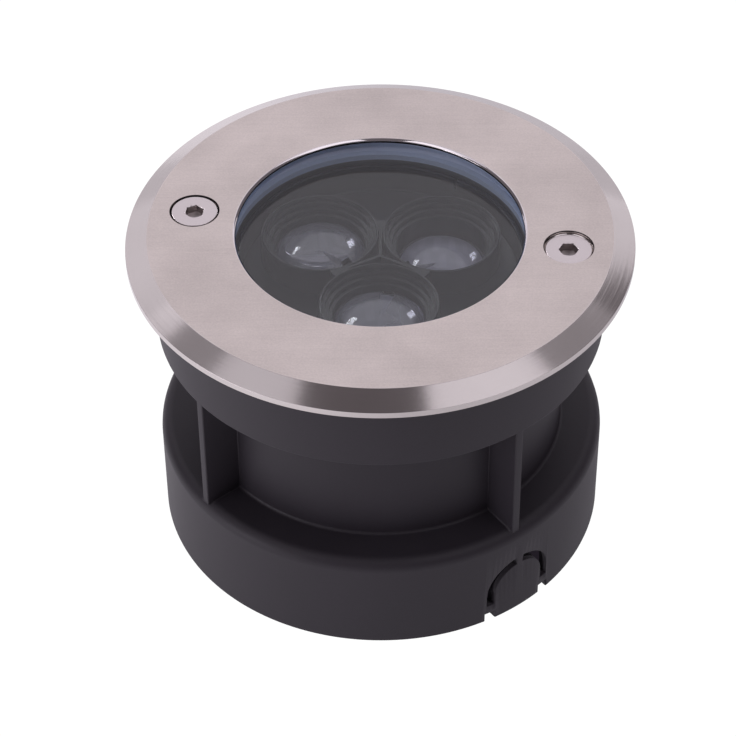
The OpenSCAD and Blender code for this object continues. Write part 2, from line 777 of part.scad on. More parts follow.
module lower_cover() color([0.50, 0.51, 0.53]) difference() {
    disc(cover_d / 2, cover_under, body_under);
    disc(gland_thread_d / 2 + thread_fit, cover_under - cut, body_under + cut);
    tube(groove_r - groove_w / 2, groove_r + groove_w / 2, body_under - groove_depth,
        body_under + cut);
    for (a = bolts) at(a, bolt_r) {
        disc(fix_d / 2 + hole_fit, cover_under - cut, body_under + cut);
        disc(fix_head_d / 2 + hole_fit, cover_under - cut, cover_under + fix_head_h);
    }
}

module cover_seal() color([0.10, 0.10, 0.11])
    tube(groove_r - groove_w / 2, groove_r + groove_w / 2, body_under - groove_depth,
        body_under);

module cover_bolts() color([0.70, 0.70, 0.72]) for (a = bolts)
    at(a, bolt_r)
        small_screw(cover_under + fix_head_h, body_under + bolt_hold - fix_end);

module gland_body() color([0.72, 0.72, 0.70]) difference() {
    union() {
        disc(gland_thread_d / 2, gland_z - cut, gland_top);
        hex(gland_af, spigot_z, gland_z);
        disc(spigot_d / 2, spigot_under, spigot_z + cut);
    }
    disc(gland_bore_r, spigot_under - cut, gland_top + cut);
}

module gland_washer_ring() color([0.10, 0.10, 0.11])
    tube(gland_thread_d / 2, gland_af / 2, gland_z, cover_under);

// Rubber seal: it fills the spigot's bore and shoulders on the thrust ring
module gland_seal() color([0.12, 0.12, 0.13]) difference() {
    union() {
        disc(gland_bore_r - seat_fit, seal_under, spigot_z);
        disc(spigot_d / 2 - shoulder_gap, seal_under, spigot_under);
    }
    disc(cable_d / 2, seal_under - cut, spigot_z + cut);
}

module gland_thrust_ring() color([0.85, 0.85, 0.82])
    tube(thrust_bore_d / 2, nut_bore_r - thrust_gap, thrust_under, seal_under);

module gland_nut() color([0.72, 0.72, 0.70]) difference() {
    hex(nut_af, nut_under, nut_top);
    disc(nut_bore_r, thrust_under, nut_top + cut);
    disc(nut_hole_d / 2, nut_under - cut, nut_top);
}

// Cover screw: countersunk head with a hexagonal key socket
module cover_screw(side, rise, turn) at(side, screw_r) translate([0, 0, rise]) difference() {
    union() {
        disc(head_d / 2, head_top - head_rim, head_top);
        translate([0, 0, head_top - head_h])
            cylinder(r1 = thread_d / 2, r2 = head_d / 2, h = head_h - head_rim);
        disc(thread_d / 2, insert_under, head_top - head_h + cut);
    }
    rotate([0, 0, turn]) hex(key_af, head_top - key_depth, head_top + cut);
    tube(thread_d / 2 - clip_groove, thread_d, clip_z, clip_z + clip_thickness);
}

module captive_clip(side, rise) at(side, screw_r) translate([0, 0, rise])
    tube(thread_d / 2 - clip_groove + thread_fit, clip_d / 2, clip_z, clip_z + clip_thickness);

module captive_clip_right() color([0.66, 0.66, 0.68]) captive_clip(0, 0);
module cover_screw_right() color([0.80, 0.78, 0.78]) cover_screw(0, 0, right_key_turn);
module captive_clip_left() color([0.66, 0.66, 0.68]) captive_clip(180, left_rise);
module cover_screw_left() color([0.80, 0.78, 0.78]) cover_screw(180, left_rise, left_key_turn);

mounting_sleeve();
threaded_inserts();
trim_ring();
glass_gasket();
window_glass();
lamp_body();
ring_fixings();
lens_holder();
holder_fixings();
lens_left();
lens_right();
lens_front();
light_board();
thermal_pad();
emitter_left();
emitter_right();
emitter_front();
lead_positive();
lead_negative();
driver_board();
driver_fixings();
transformer();
capacitor_input();
capacitor_output();
driver_chip();
terminal_block();
lower_cover();
cover_seal();
cover_bolts();
gland_body();
gland_washer_ring();
gland_seal();
gland_thrust_ring();
gland_nut();
captive_clip_right();
cover_screw_right();
captive_clip_left();
cover_screw_left();
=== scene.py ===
"""In ground well light, dressed for a product photograph.

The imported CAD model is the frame. What shows from outside is rebuilt here with rounded edges and
moulded, turned or brushed detail. The rest keeps its CAD shape and gets a finish of its own.
Sizes are in millimetres, and each mesh is scaled to metres when it becomes an object.
"""

import logging
import math
from dataclasses import dataclass
from enum import Enum
from typing import Callable, Iterable, Optional, Sequence, Union

import bmesh
import bpy
from mathutils import Matrix, Vector


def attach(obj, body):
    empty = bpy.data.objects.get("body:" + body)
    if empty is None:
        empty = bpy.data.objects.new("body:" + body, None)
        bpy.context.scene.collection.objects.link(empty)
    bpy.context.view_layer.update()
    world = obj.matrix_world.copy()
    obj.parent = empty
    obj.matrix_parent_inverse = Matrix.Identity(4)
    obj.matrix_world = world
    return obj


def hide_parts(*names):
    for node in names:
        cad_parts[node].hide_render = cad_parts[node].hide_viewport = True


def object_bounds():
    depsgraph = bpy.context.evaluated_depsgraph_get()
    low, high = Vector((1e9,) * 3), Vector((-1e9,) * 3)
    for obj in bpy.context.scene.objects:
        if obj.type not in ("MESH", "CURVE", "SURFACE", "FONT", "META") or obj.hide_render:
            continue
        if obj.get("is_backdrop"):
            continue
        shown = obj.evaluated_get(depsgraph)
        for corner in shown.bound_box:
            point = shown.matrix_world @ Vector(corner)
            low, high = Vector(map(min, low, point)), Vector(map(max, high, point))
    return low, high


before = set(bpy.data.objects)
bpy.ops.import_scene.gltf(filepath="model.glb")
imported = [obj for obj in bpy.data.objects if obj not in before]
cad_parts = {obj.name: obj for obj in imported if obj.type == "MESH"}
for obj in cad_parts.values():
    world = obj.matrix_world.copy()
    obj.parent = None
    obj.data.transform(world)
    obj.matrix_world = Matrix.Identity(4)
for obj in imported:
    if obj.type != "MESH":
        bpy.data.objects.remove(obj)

LOG = logging.getLogger("well_light")
MM = 0.001
MERGE_MM = 1e-4
SHARP_ANGLE = math.radians(35)
FRAME_PX = 736.0
WHITE = (1.0, 1.0, 1.0, 1.0)

# The bodies that the dressed pieces ride on
LAMP, SLEEVE = "lamp", "sleeve"

# What several pieces share, in millimetres and degrees
RIM_Z = 79.6  # Height of the sleeve's rim, on which the ring lies
SCREW_R = 44.5  # Distance of the cover screws from the axis
HOLDER_Z = 71.95  # Height of the rims of the lens holder's cups
BOARD_Z = 57.0  # Height of the light board's top
PHOTO_TURN = 9.45  # Turn of the part against the photograph's own axes
PAST = 1.0  # How far a shape reaches past what it cuts, or into what it joins

BMesh = bmesh.types.BMesh
Object = bpy.types.Object
Socket = bpy.types.NodeSocket


# Shader maths


def _operator(operation: str, swapped: bool = False) -> Callable:
    """Makes a method of Value that adds one Math node.

    Args:
        operation: The node's operation.
        swapped: Whether the other term comes first.

    Returns:
        The method.
    """

    def method(self: "Value", other: "Number") -> "Value":
        """Joins the two terms in one node."""
        return self.graph.maths(operation, *((other, self) if swapped else (self, other)))

    return method


class Value:
    """A number socket that takes Python's operators. Each operator adds one Math node."""

    def __init__(self, graph: "Graph", socket: Socket) -> None:
        """Wraps a socket.

        Args:
            graph: The node tree that holds the socket.
            socket: An output socket that gives a number.
        """
        self.graph = graph
        self.socket = socket

    __add__ = __radd__ = _operator("ADD")
    __sub__ = _operator("SUBTRACT")
    __rsub__ = _operator("SUBTRACT", swapped=True)
    __mul__ = __rmul__ = _operator("MULTIPLY")
    __pow__ = _operator("POWER")
    __gt__ = _operator("GREATER_THAN")

    def sine(self) -> "Value":
        """The sine of an angle in radians."""
        return self.graph.maths("SINE", self)

    def ramp(self, low: float, high: float) -> "Value":
        """Rises from 0 to 1 between two values, and stays within them.

        Args:
            low: Where the result is 0.
            high: Where the result is 1.

        Returns:
            The clamped share.
        """
        share = self.graph.node(
            "ShaderNodeMapRange",
            {"clamp": True},
            {"Value": self, "From Min": low, "From Max": high},
        )
        return Value(self.graph, share.outputs["Result"])


Number = Union[Value, float]


class Graph:
    """The node tree of a material, or of the world."""

    def __init__(self, owner: bpy.types.ID, output: str = "ShaderNodeOutputMaterial") -> None:
        """Starts an empty tree.

        Args:
            owner: The material or world whose tree is filled.
            output: The type of its output node.
        """
        owner.use_nodes = True
        self.tree = owner.node_tree
        self.tree.nodes.clear()
        self.output = output

    def node(
        self, kind: str, settings: Optional[dict] = None, inputs: Optional[dict] = None
    ) -> bpy.types.Node:
        """Adds one node.

        Args:
            kind: The node's type.
            settings: Its properties, set first.
            inputs: What each input socket takes, by name or index: a value or a link.

        Returns:
            The node.
        """
        made = self.tree.nodes.new(kind)
        for name, setting in (settings or {}).items():
            setattr(made, name, setting)
        for name, given in (inputs or {}).items():
            source = given.socket if isinstance(given, Value) else given
            if isinstance(source, Socket):
                self.tree.links.new(source, made.inputs[name])
            else:
                made.inputs[name].default_value = source
        return made

    def only(self, kind: str) -> bpy.types.Node:
        """The tree's one node of a type, which is added at its first use."""
        found = [node for node in self.tree.nodes if node.bl_idname == kind]
        return found[0] if found else self.node(kind)

    def maths(self, operation: str, *terms: Number) -> Value:
        """Adds a Math node with these terms, in order."""
        made = self.node("ShaderNodeMath", {"operation": operation}, dict(enumerate(terms)))
        return Value(self, made.outputs[0])

    def place(self) -> Socket:
        """The point on the piece, in metres, in the part's own frame."""
        return self.only("ShaderNodeTexCoord").outputs["Object"]

    def ray(self, kind: str) -> Value:
        """1 for rays of a kind, such as Camera or Shadow, and else 0."""
        return Value(self, self.only("ShaderNodeLightPath").outputs[f"Is {kind} Ray"])

    def stretched(self, scale: Sequence[float], turn: float = 0.0) -> Socket:
        """The point on the piece, turned about the axis and then scaled.

        Args:
            scale: Factors along X, Y and Z.
            turn: Turn about Z, in radians.

        Returns:
            A vector socket.
        """
        mapped = self.node(
            "ShaderNodeMapping",
            {"vector_type": "TEXTURE"},
            {
                "Vector": self.place(),
                "Rotation": (0.0, 0.0, turn),
                "Scale": tuple(1.0 / s for s in scale),
            },
        )
        return mapped.outputs["Vector"]

    def axes(self) -> tuple:
        """The point's X, Y and Z as values, in metres."""
        split = self.node("ShaderNodeSeparateXYZ", inputs={"Vector": self.place()})
        return tuple(Value(self, split.outputs[k]) for k in range(3))

    def radius(self, centre: Sequence[float] = (0.0, 0.0)) -> Value:
        """The distance from an upright axis at this X and Y, in metres."""
        x, y, _ = self.axes()
        return ((x - centre[0]) ** 2.0 + (y - centre[1]) ** 2.0) ** 0.5

    def vector(self, x: Number, y: Number, z: Number) -> Socket:
        """A vector made of three values."""
        return self.node("ShaderNodeCombineXYZ", inputs={0: x, 1: y, 2: z}).outputs[0]

    def noise(
        self, where: Socket, scale: float, detail: float = 3.0, roughness: float = 0.5
    ) -> Value:
        """Smooth noise, about 0 to 1.

        Args:
            where: The coordinates that it reads.
            scale: How many features fit in one unit.
            detail: How many finer layers it has.
            roughness: The strength of the finer layers.

        Returns:
            The noise.
        """
        inputs = {"Vector": where, "Scale": scale, "Detail": detail, "Roughness": roughness}
        return Value(self, self.node("ShaderNodeTexNoise", inputs=inputs).outputs["Fac"])

    def cells(self, where: Socket, scale: float) -> Value:
        """The distance to the nearest of many scattered points."""
        made = self.node("ShaderNodeTexVoronoi", inputs={"Vector": where, "Scale": scale})
        return Value(self, made.outputs["Distance"])

    def colour(self, share: Number, low: Sequence[float], high: Sequence[float]) -> Socket:
        """A colour between two colours.

        Args:
            share: 0 for the first and 1 for the second.
            low: The first colour, or a socket that gives it.
            high: The second colour, or a socket that gives it.

        Returns:
            A colour socket.
        """
        ends = [c if isinstance(c, Socket) else (*c, 1.0) for c in (low, high)]
        inputs = {0: share, 6: ends[0], 7: ends[1]}
        return self.node("ShaderNodeMix", {"data_type": "RGBA"}, inputs).outputs[2]

    def bump(self, height: Value, strength: float, depth_mm: float) -> Socket:
        """A normal that is tilted by a height.

        Args:
            height: The height, about 0 to 1.
            strength: How much of the tilt is used.
            depth_mm: The depth between 0 and 1, in millimetres.

        Returns:
            A normal socket.
        """
        inputs = {"Height": height, "Strength": strength, "Distance": depth_mm * MM}
        return self.node("ShaderNodeBump", inputs=inputs).outputs["Normal"]

    def principled(self, inputs: dict) -> Socket:
        """A Principled shader with these inputs."""
        return self.node("ShaderNodeBsdfPrincipled", inputs=inputs).outputs["BSDF"]

    def plain(self, kind: str, colour: Sequence[float], strength: float) -> Socket:
        """A Background or Emission shader of one colour."""
        return self.node(kind, inputs={"Color": colour, "Strength": strength}).outputs[0]

    def mix(self, share: Number, first: Socket, second: Socket) -> Socket:
        """The first shader where the share is 0, and the second where it is 1."""
        inputs = {0: share, 1: first, 2: second}
        return self.node("ShaderNodeMixShader", inputs=inputs).outputs[0]

    def finish(self, shader: Socket) -> None:
        """Joins a shader to the tree's output."""
        self.node(self.output, inputs={"Surface": shader})


# Finishes


class Grain(Enum):
    """Which way a metal's brushed lines run."""

    STRAIGHT = "straight"
    TURNED = "turned"


@dataclass(frozen=True)
class Finish:
    """One finish. Its material is made when it is first used."""

    name: str
    colour: tuple  # The base colour, linear
    roughness: float  # The mean roughness

    def shade(self, graph: Graph) -> Socket:
        """Builds the shader. Each kind of finish has its own."""
        raise NotImplementedError

    def scaled(self, factor: float) -> tuple:
        """The base colour times a factor."""
        return tuple(c * factor for c in self.colour)

    def material(self) -> bpy.types.Material:
        """The finish's material.

        Returns:
            The material, made once.
        """
        name = f"{self.name}_finish"
        found = bpy.data.materials.get(name)
        if found is None:
            found = bpy.data.materials.new(name)
            graph = Graph(found)
            graph.finish(self.shade(graph))
        return found


@dataclass(frozen=True)
class BrushedMetal(Finish):
    """Metal with fine lines, straight across or turned about an axis."""

    grain: Grain = Grain.STRAIGHT
    lines_per_mm: float = 9.0
    line_depth_mm: float = 0.004
    turn: float = 0.0  # The straight lines' turn about Z, in radians
    centre: tuple = (0.0, 0.0)  # Where the turned lines' axis stands, in metres
    blotch: float = 0.05  # How much the tone varies over the surface

    def lines(self, graph: Graph, per_mm: float) -> Value:
        """The brushed lines as a height.

        Args:
            graph: The material's node tree.
            per_mm: How fine the lines are.

        Returns:
            The height, about 0 to 1.
        """
        fine = per_mm / MM
        if self.grain is Grain.STRAIGHT:
            along = 10.0 * per_mm + 15.0
            where = graph.stretched((along, fine, along), self.turn)
        else:
            x, y, z = graph.axes()
            radius = graph.radius(self.centre)
            where = graph.vector(radius * fine + x * 40.0, z * fine, y * 40.0)
        return graph.noise(where, scale=1.0, detail=2.0, roughness=0.6)

    def shade(self, graph: Graph) -> Socket:
        """Brushed metal: fine and coarse lines, and faint blotches and specks of tone.

        Args:
            graph: The material's node tree.

        Returns:
            The shader.
        """
        lines = self.lines(graph, self.lines_per_mm)
        streaks = self.lines(graph, self.lines_per_mm * 0.2)
        patches = graph.noise(graph.place(), scale=55.0, detail=4.0, roughness=0.55)
        specks = graph.noise(graph.place(), scale=2200.0, detail=2.0, roughness=0.6)
        darker = self.scaled(1.0 - 3.0 * self.blotch)
        tone = (patches * 0.45 + streaks * 0.1 + lines * 0.15 + specks * 0.3).ramp(0.3, 0.7)
        return graph.principled(
            {
                "Base Color": graph.colour(tone, darker, self.colour),
                "Metallic": 1.0,
                "Roughness": self.roughness * (0.85 + patches * 0.16 + lines * 0.14),
                "Normal": graph.bump(lines * 0.15 + streaks * 0.85, 0.5, self.line_depth_mm),
            }
        )


@dataclass(frozen=True)
class Moulded(Finish):
    """Moulded plastic or rubber with a fine grain."""

    grain_mm: float = 0.35  # The width of the grain
    grain_depth_mm: float = 0.012
    mottle: float = 0.2  # How much the tone varies
    coat: float = 0.0  # A thin gloss over the top, from 0 to 1
    gloss: float = 0.5  # The strength of its reflections, 0.5 for plain plastic

    def shade(self, graph: Graph) -> Socket:
        """Moulded grain, with faint flow marks in tone and gloss.

        Args:
            graph: The material's node tree.

        Returns:
            The shader.
        """
        grain = graph.noise(graph.place(), 1.0 / (self.grain_mm * MM), detail=2.0, roughness=0.6)
        flow = graph.noise(graph.stretched((60.0, 60.0, 22.0)), 1.0)
        tone = (flow * 0.6 + grain * 0.4).ramp(0.25, 0.75)
        inputs = {
            "Base Color": graph.colour(tone, self.colour, self.scaled(1.0 + self.mottle)),
            "Roughness": self.roughness * (0.86 + flow * 0.2 + grain * 0.08),
            "Coat Weight": self.coat,
            "Coat Roughness": 0.08,
            "Specular IOR Level": self.gloss,
        }
        if self.grain_depth_mm:
            inputs["Normal"] = graph.bump(grain, 0.6, self.grain_depth_mm)
        return graph.principled(inputs)


@dataclass(frozen=True)
class CastMetal(Finish):
    """Die-cast or plated metal with a blasted or tumbled skin."""

    grain_mm: float = 0.5  # The width of the skin's dimples
    grain_depth_mm: float = 0.02

    def shade(self, graph: Graph) -> Socket:
        """Fine dimples, with darker stains.

        Args:
            graph: The material's node tree.

        Returns:
            The shader.
        """
        dimples = graph.noise(graph.place(), 1.0 / (self.grain_mm * MM), roughness=0.6)
        stain = graph.noise(graph.place(), scale=70.0, detail=4.0, roughness=0.6)
        return graph.principled(
            {
                "Base Color": graph.colour(stain.ramp(0.3, 0.65), self.scaled(0.8), self.colour),
                "Metallic": 1.0,
                "Roughness": self.roughness * (0.85 + stain * 0.3),
                "Normal": graph.bump(dimples, 0.6, self.grain_depth_mm),
            }
        )


@dataclass(frozen=True)
class Clear(Finish):
    """Clear glass or plastic, which lets the studio's lamps through to what lies below it."""

    ior: float  # The index of refraction
    lamp_share: float  # How much of a lamp's light reaches what lies below
    clearness: float = 1.0  # How much light goes through. The rest is scattered, as in haze

    def shade(self, graph: Graph) -> Socket:
        """A refracting shader that shadow rays and scattered rays pass straight through.

        Args:
            graph: The material's node tree.

        Returns:
            The shader.
        """
        clear = graph.principled(
            {
                "Base Color": (*self.colour, 1.0),
                "Roughness": self.roughness,
                "IOR": self.ior,
                "Transmission Weight": self.clearness,
            }
        )
        let_through = (*self.scaled(self.lamp_share), 1.0)
        pane = graph.node("ShaderNodeBsdfTransparent", inputs={"Color": let_through}).outputs[0]
        rough = graph.ray("Glossy") * (1.0 - graph.ray("Singular"))
        return graph.mix(graph.ray("Shadow") + graph.ray("Diffuse") + rough, clear, pane)


@dataclass(frozen=True)
class Board(Finish):
    """Circuit board: solder mask over copper tracks, with plated pads."""

    pitch_mm: float = 2.2  # The spacing of the tracks
    pad_colour: tuple = (0.62, 0.60, 0.55)

    def shade(self, graph: Graph) -> Socket:
        """Tracks that show faintly through the mask, and scattered pads.

        Args:
            graph: The material's node tree.

        Returns:
            The shader.
        """
        x, y, _ = graph.axes()
        pitch = math.tau / (self.pitch_mm * MM)
        bend = graph.noise(graph.place(), scale=130.0, detail=1.0)
        tracks = (x * pitch + bend * 9.0).sine() * (y * pitch * 0.5 + bend * 6.0).sine()
        track = tracks.ramp(0.05, 0.12)
        pads = 1.0 - graph.cells(graph.place(), 300.0).ramp(0.14, 0.17)
        lighter = tuple(min(1.0, c * 1.12 + 0.005) for c in self.colour)
        mask = graph.colour(track, self.colour, lighter)
        return graph.principled(
            {
                "Base Color": graph.colour(pads, mask, self.pad_colour),
                "Metallic": pads * 0.8,
                "Roughness": self.roughness - pads * 0.08,
                "Normal": graph.bump(track + pads, 0.4, 0.03),
            }
        )


class Finishes:
    """The finishes of the well light, by what they cover."""

    ring_face = BrushedMetal(
        "ring_face",
        (0.85, 0.772, 0.718),
        0.36,
        turn=math.radians(PHOTO_TURN),
        lines_per_mm=7.0,
        line_depth_mm=0.006,
        blotch=0.1,
    )
    ring_edge = BrushedMetal(
        "ring_edge",
        (0.74, 0.695, 0.665),
        0.14,
        grain=Grain.TURNED,
        lines_per_mm=7.0,
        line_depth_mm=0.016,
        blotch=0.03,
    )
    ring_bore = BrushedMetal(
        "ring_bore",
        (0.90, 0.86, 0.86),
        0.08,
        grain=Grain.TURNED,
        lines_per_mm=6.0,
        line_depth_mm=0.001,
        blotch=0.01,
    )
    # Near-black: painted shade of the gap round each screw head, not the steel's own colour
    ring_lip = CastMetal("ring_lip", (0.04, 0.034, 0.036), 0.6, 0.3, 0.006)
    screw_socket = CastMetal("screw_socket", (0.50, 0.46, 0.45), 0.3, 0.3, 0.006)
    cast_aluminium = CastMetal("cast_aluminium", (0.42, 0.43, 0.45), 0.5)
    zinc = CastMetal("zinc_steel", (0.58, 0.59, 0.62), 0.28, 0.8, 0.004)
    brass = CastMetal("brass", (0.72, 0.50, 0.20), 0.3, 0.6, 0.006)
    nickel = CastMetal("nickel_brass", (0.60, 0.58, 0.54), 0.22, 1.2, 0.004)
    moulded_black = Moulded(
        "moulded_black", (0.0285, 0.0245, 0.0305), 0.5, 0.45, 0.03, mottle=0.35, gloss=0.38
    )
    holder_black = Moulded("holder_black", (0.003, 0.003, 0.004), 0.3, 1.5, 0, gloss=0.6)
    silicone = Moulded("grey_silicone", (0.60, 0.68, 0.88), 0.5, 0.8, 0, mottle=0.1)
    glass_edge = Moulded("ground_glass", (0.60, 0.68, 0.88), 0.45, 0.15, 0)
    rubber = Moulded("black_rubber", (0.012, 0.012, 0.013), 0.7, 0.5)
    pad_grey = Moulded("pad_grey", (0.30, 0.33, 0.37), 0.75, 0.4)
    phosphor = Moulded("emitter_yellow", (0.78, 0.60, 0.16), 0.4, 0.1, coat=1.0)
    ceramic = Moulded("emitter_base", (0.42, 0.41, 0.38), 0.45, 0.15)
    lead_red = Moulded("lead_red", (0.45, 0.015, 0.01), 0.35, 0.6)
    lead_black = Moulded("lead_black", (0.012, 0.012, 0.012), 0.35, 0.6)
    tape = Moulded("tape_yellow", (0.55, 0.34, 0.02), 0.3, 1.2, coat=0.6)
    shrink_blue = Moulded("sleeve_blue", (0.015, 0.03, 0.14), 0.28, 1.0, coat=0.5)
    chip_black = Moulded("chip_black", (0.012, 0.012, 0.013), 0.55, 0.12)
    terminal_green = Moulded("terminal_green", (0.01, 0.12, 0.04), 0.4, 0.5)
    nylon = Moulded("white_nylon", (0.62, 0.62, 0.58), 0.4, 0.5)
    glass = Clear("clear_glass", (0.93, 0.965, 0.96), 0.0, ior=1.46, lamp_share=0.85)
    lens = Clear("clear_lens", (0.91, 0.89, 1.0), 0.0, ior=1.49, lamp_share=0.8, clearness=0.92)
    board_white = Board("board_white", (0.68, 0.69, 0.68), 0.32)
    board_green = Board("board_green", (0.01, 0.09, 0.03), 0.28)

    @staticmethod
    def screw_face(word: str, centre: tuple) -> BrushedMetal:
        """Turned steel about one screw's own axis.

        Args:
            word: right or left.
            centre: The screw's X and Y, in metres.

        Returns:
            The finish.
        """
        return BrushedMetal(
            f"screw_steel_{word}",
            (0.745, 0.69, 0.68),
            0.26,
            grain=Grain.TURNED,
            centre=centre,
            lines_per_mm=3.0,
            blotch=0.02,
        )


# Meshwork


@dataclass(frozen=True)
class Corner:
    """One corner of a turned section, in millimetres."""

    r: float  # Distance from the axis
    z: float  # Height above the sleeve's foot
    fillet: float = 0.0  # The size of the arc that rounds it
    arc_steps: int = 3  # The number of faces in that arc


def around(angle: float) -> Matrix:
    """A turn about the upright axis, in degrees."""
    return Matrix.Rotation(math.radians(angle), 4, "Z")


def polar(angle: float, radius: float) -> tuple:
    """X and Y of a point at an angle in degrees."""
    return (radius * math.cos(math.radians(angle)), radius * math.sin(math.radians(angle)))


def rounded(bm: BMesh, geom: Iterable, size: float, steps: int, affect: str) -> None:
    """Rounds corners of a flat outline, or edges of a solid.

    Args:
        bm: The mesh.
        geom: Its vertices or edges.
        size: The size of the arc.
        steps: The number of faces in the arc.
        affect: VERTICES or EDGES.
    """
    bmesh.ops.bevel(
        bm,
        geom=list(geom),
        offset=size,
        offset_type="OFFSET",
        segments=steps,
        profile=0.5,
        affect=affect,
        material=-1,
        clamp_overlap=True,
    )


def full_turn(bm: BMesh, steps: int) -> BMesh:
    """Spins a section once round the upright axis, and merges what meets.

    Args:
        bm: The mesh that holds the section.
        steps: The number of faces in a full turn.

    Returns:
        The same mesh.
    """
    bmesh.ops.spin(
        bm,
        geom=bm.verts[:] + bm.edges[:],
        cent=(0.0, 0.0, 0.0),
        axis=(0.0, 0.0, 1.0),
        angle=math.tau,
        steps=steps,
        use_merge=True,
    )
    bmesh.ops.remove_doubles(bm, verts=bm.verts, dist=MERGE_MM)
    bmesh.ops.recalc_face_normals(bm, faces=bm.faces)
    return bm


def thickened(bm: BMesh, depth: float) -> BMesh:
    """Extrudes flat faces along Z.

    Args:
        bm: The mesh that holds the faces.
        depth: How far they are extruded.

    Returns:
        The same mesh.
    """
    grown = bmesh.ops.extrude_face_region(bm, geom=bm.faces[:])
    moved = [v for v in grown["geom"] if isinstance(v, bmesh.types.BMVert)]
    bmesh.ops.translate(bm, verts=moved, vec=(0.0, 0.0, depth))
    bmesh.ops.recalc_face_normals(bm, faces=bm.faces)
    return bm


class Shape:
    """A mesh under construction, in millimetres in the part's frame."""

    def __init__(self) -> None:
        """Starts an empty mesh."""
        self.bm = bmesh.new()

    def take(self, other: BMesh, *moves: Matrix, paint: Optional[int] = None) -> "Shape":
        """Moves another mesh into this one.

        Args:
            other: The mesh, which is freed.
            moves: The moves that put it in its place, the last one first.
            paint: The material index of its faces, where it isn't kept.

        Returns:
            The shape itself.
        """
        held = bpy.data.meshes.new("held")
        for move in reversed(moves):
            other.transform(move)
        if paint is not None:
            for face in other.faces:
                face.material_index = paint
        other.to_mesh(held)
        other.free()
        self.bm.from_mesh(held)
        bpy.data.meshes.remove(held)
        return self

    def turn_section(
        self, corners: Sequence[Corner], steps: int, centre: Sequence[float] = (0.0, 0.0)
    ) -> "Shape":
        """Spins a closed section once round an upright axis.

        Args:
            corners: The section, in order round its outline.
            steps: The number of faces in a full turn.
            centre: Where the axis stands, X and Y.

        Returns:
            The shape itself.
        """
        made = bmesh.new()
        points = [made.verts.new((c.r, 0.0, c.z)) for c in corners]
        for here, after in zip(points, points[1:] + points[:1]):
            made.edges.new((here, after))
        for point, corner in zip(points, corners):
            if corner.fillet:
                rounded(made, [point], corner.fillet, corner.arc_steps, "VERTICES")
        on_axis = [e for e in made.edges if all(v.co.x < MERGE_MM for v in e.verts)]
        bmesh.ops.delete(made, geom=on_axis, context="EDGES")
        return self.take(full_turn(made, steps), Matrix.Translation((*centre, 0.0)))

    def extrude_outline(
        self, outline: Sequence[tuple], fillets: Sequence[float], depth: float, place: Matrix
    ) -> "Shape":
        """Extrudes a closed outline, whose corners are rounded first.

        Args:
            outline: Points in the XY plane, in order.
            fillets: The fillet of each point, or 0.
            depth: How far it is extruded along Z.
            place: Where it goes.

        Returns:
            The shape itself.
        """
        made = bmesh.new()
        points = [made.verts.new((x, y, 0.0)) for x, y in outline]
        made.faces.new(points)
        for point, fillet in zip(points, fillets):
            if fillet:
                rounded(made, [point], fillet, 3, "VERTICES")
        return self.take(thickened(made, depth), place)

    def add_box(
        self, low: Sequence[float], high: Sequence[float], fillet: float = 0.0, turn: float = 0.0
    ) -> "Shape":
        """Adds a box between two corners.

        Args:
            low: Its lowest corner.
            high: Its highest corner.
            fillet: The rounding of its edges.
            turn: A turn about the upright axis, in degrees.

        Returns:
            The shape itself.
        """
        made = bmesh.new()
        bmesh.ops.create_cube(made, size=1.0)
        low, high = Vector(low), Vector(high)
        bmesh.ops.scale(made, verts=made.verts, vec=high - low)
        bmesh.ops.translate(made, verts=made.verts, vec=(high + low) / 2)
        if fillet:
            rounded(made, made.edges[:], fillet, 2, "EDGES")
        return self.take(made, around(turn))

    def to_object(self, name: str) -> Object:
        """Makes an object of the mesh, in metres, and links it to the scene.

        Args:
            name: The object's name.

        Returns:
            The object.
        """
        mesh = bpy.data.meshes.new(name)
        bmesh.ops.scale(self.bm, verts=self.bm.verts, vec=(MM, MM, MM))
        for edge in self.bm.edges:
            edge.smooth = edge.calc_face_angle(0.0) < SHARP_ANGLE
        for face in self.bm.faces:
            face.smooth = True
        self.bm.to_mesh(mesh)
        self.bm.free()
        made = bpy.data.objects.new(name, mesh)
        bpy.context.scene.collection.objects.link(made)
        return made


def bore(centre: Sequence[float], radius: float, low: float, high: float) -> Shape:
    """A round shape that bores a hole about an axis at X and Y, between two heights."""
    section = [Corner(0.0, low), Corner(radius, low), Corner(radius, high), Corner(0.0, high)]
    return Shape().turn_section(section, 96, centre)


def combine(
    made: Object, tools: Sequence[Shape], operation: str, crossing: bool = False
) -> Object:
    """Cuts shapes out of an object or joins them on, exactly.

    Args:
        made: The object that changes.
        tools: The shapes that cut or join.
        operation: DIFFERENCE or UNION.
        crossing: Whether the shapes run through each other.

    Returns:
        The changed object, with no modifier left.
    """
    tool = Shape()
    for shape in tools:
        tool.take(shape.bm)
    other = tool.to_object(f"{made.name}_tool")
    modifier = made.modifiers.new("combine", "BOOLEAN")
    modifier.operation = operation
    modifier.solver = "EXACT"
    modifier.object = other
    modifier.use_self = crossing
    graph = bpy.context.evaluated_depsgraph_get()
    old = made.data
    made.data = bpy.data.meshes.new_from_object(made.evaluated_get(graph))
    made.data.name = made.name
    made.modifiers.clear()
    bpy.data.meshes.remove(old)
    bpy.data.objects.remove(other)
    return made


def sort_faces(made: Object, rule: Callable[[Vector], int]) -> None:
    """Gives each face the material index that a rule gives for its centre, in millimetres."""
    for face in made.data.polygons:
        face.material_index = rule(face.center / MM)


def weighted(made: Object) -> Object:
    """Lets large flat faces keep their own direction beside rounded edges.

    Args:
        made: The object.

    Returns:
        The same object.
    """
    modifier = made.modifiers.new("weighted", "WEIGHTED_NORMAL")
    modifier.weight = 100
    modifier.keep_sharp = True
    return made


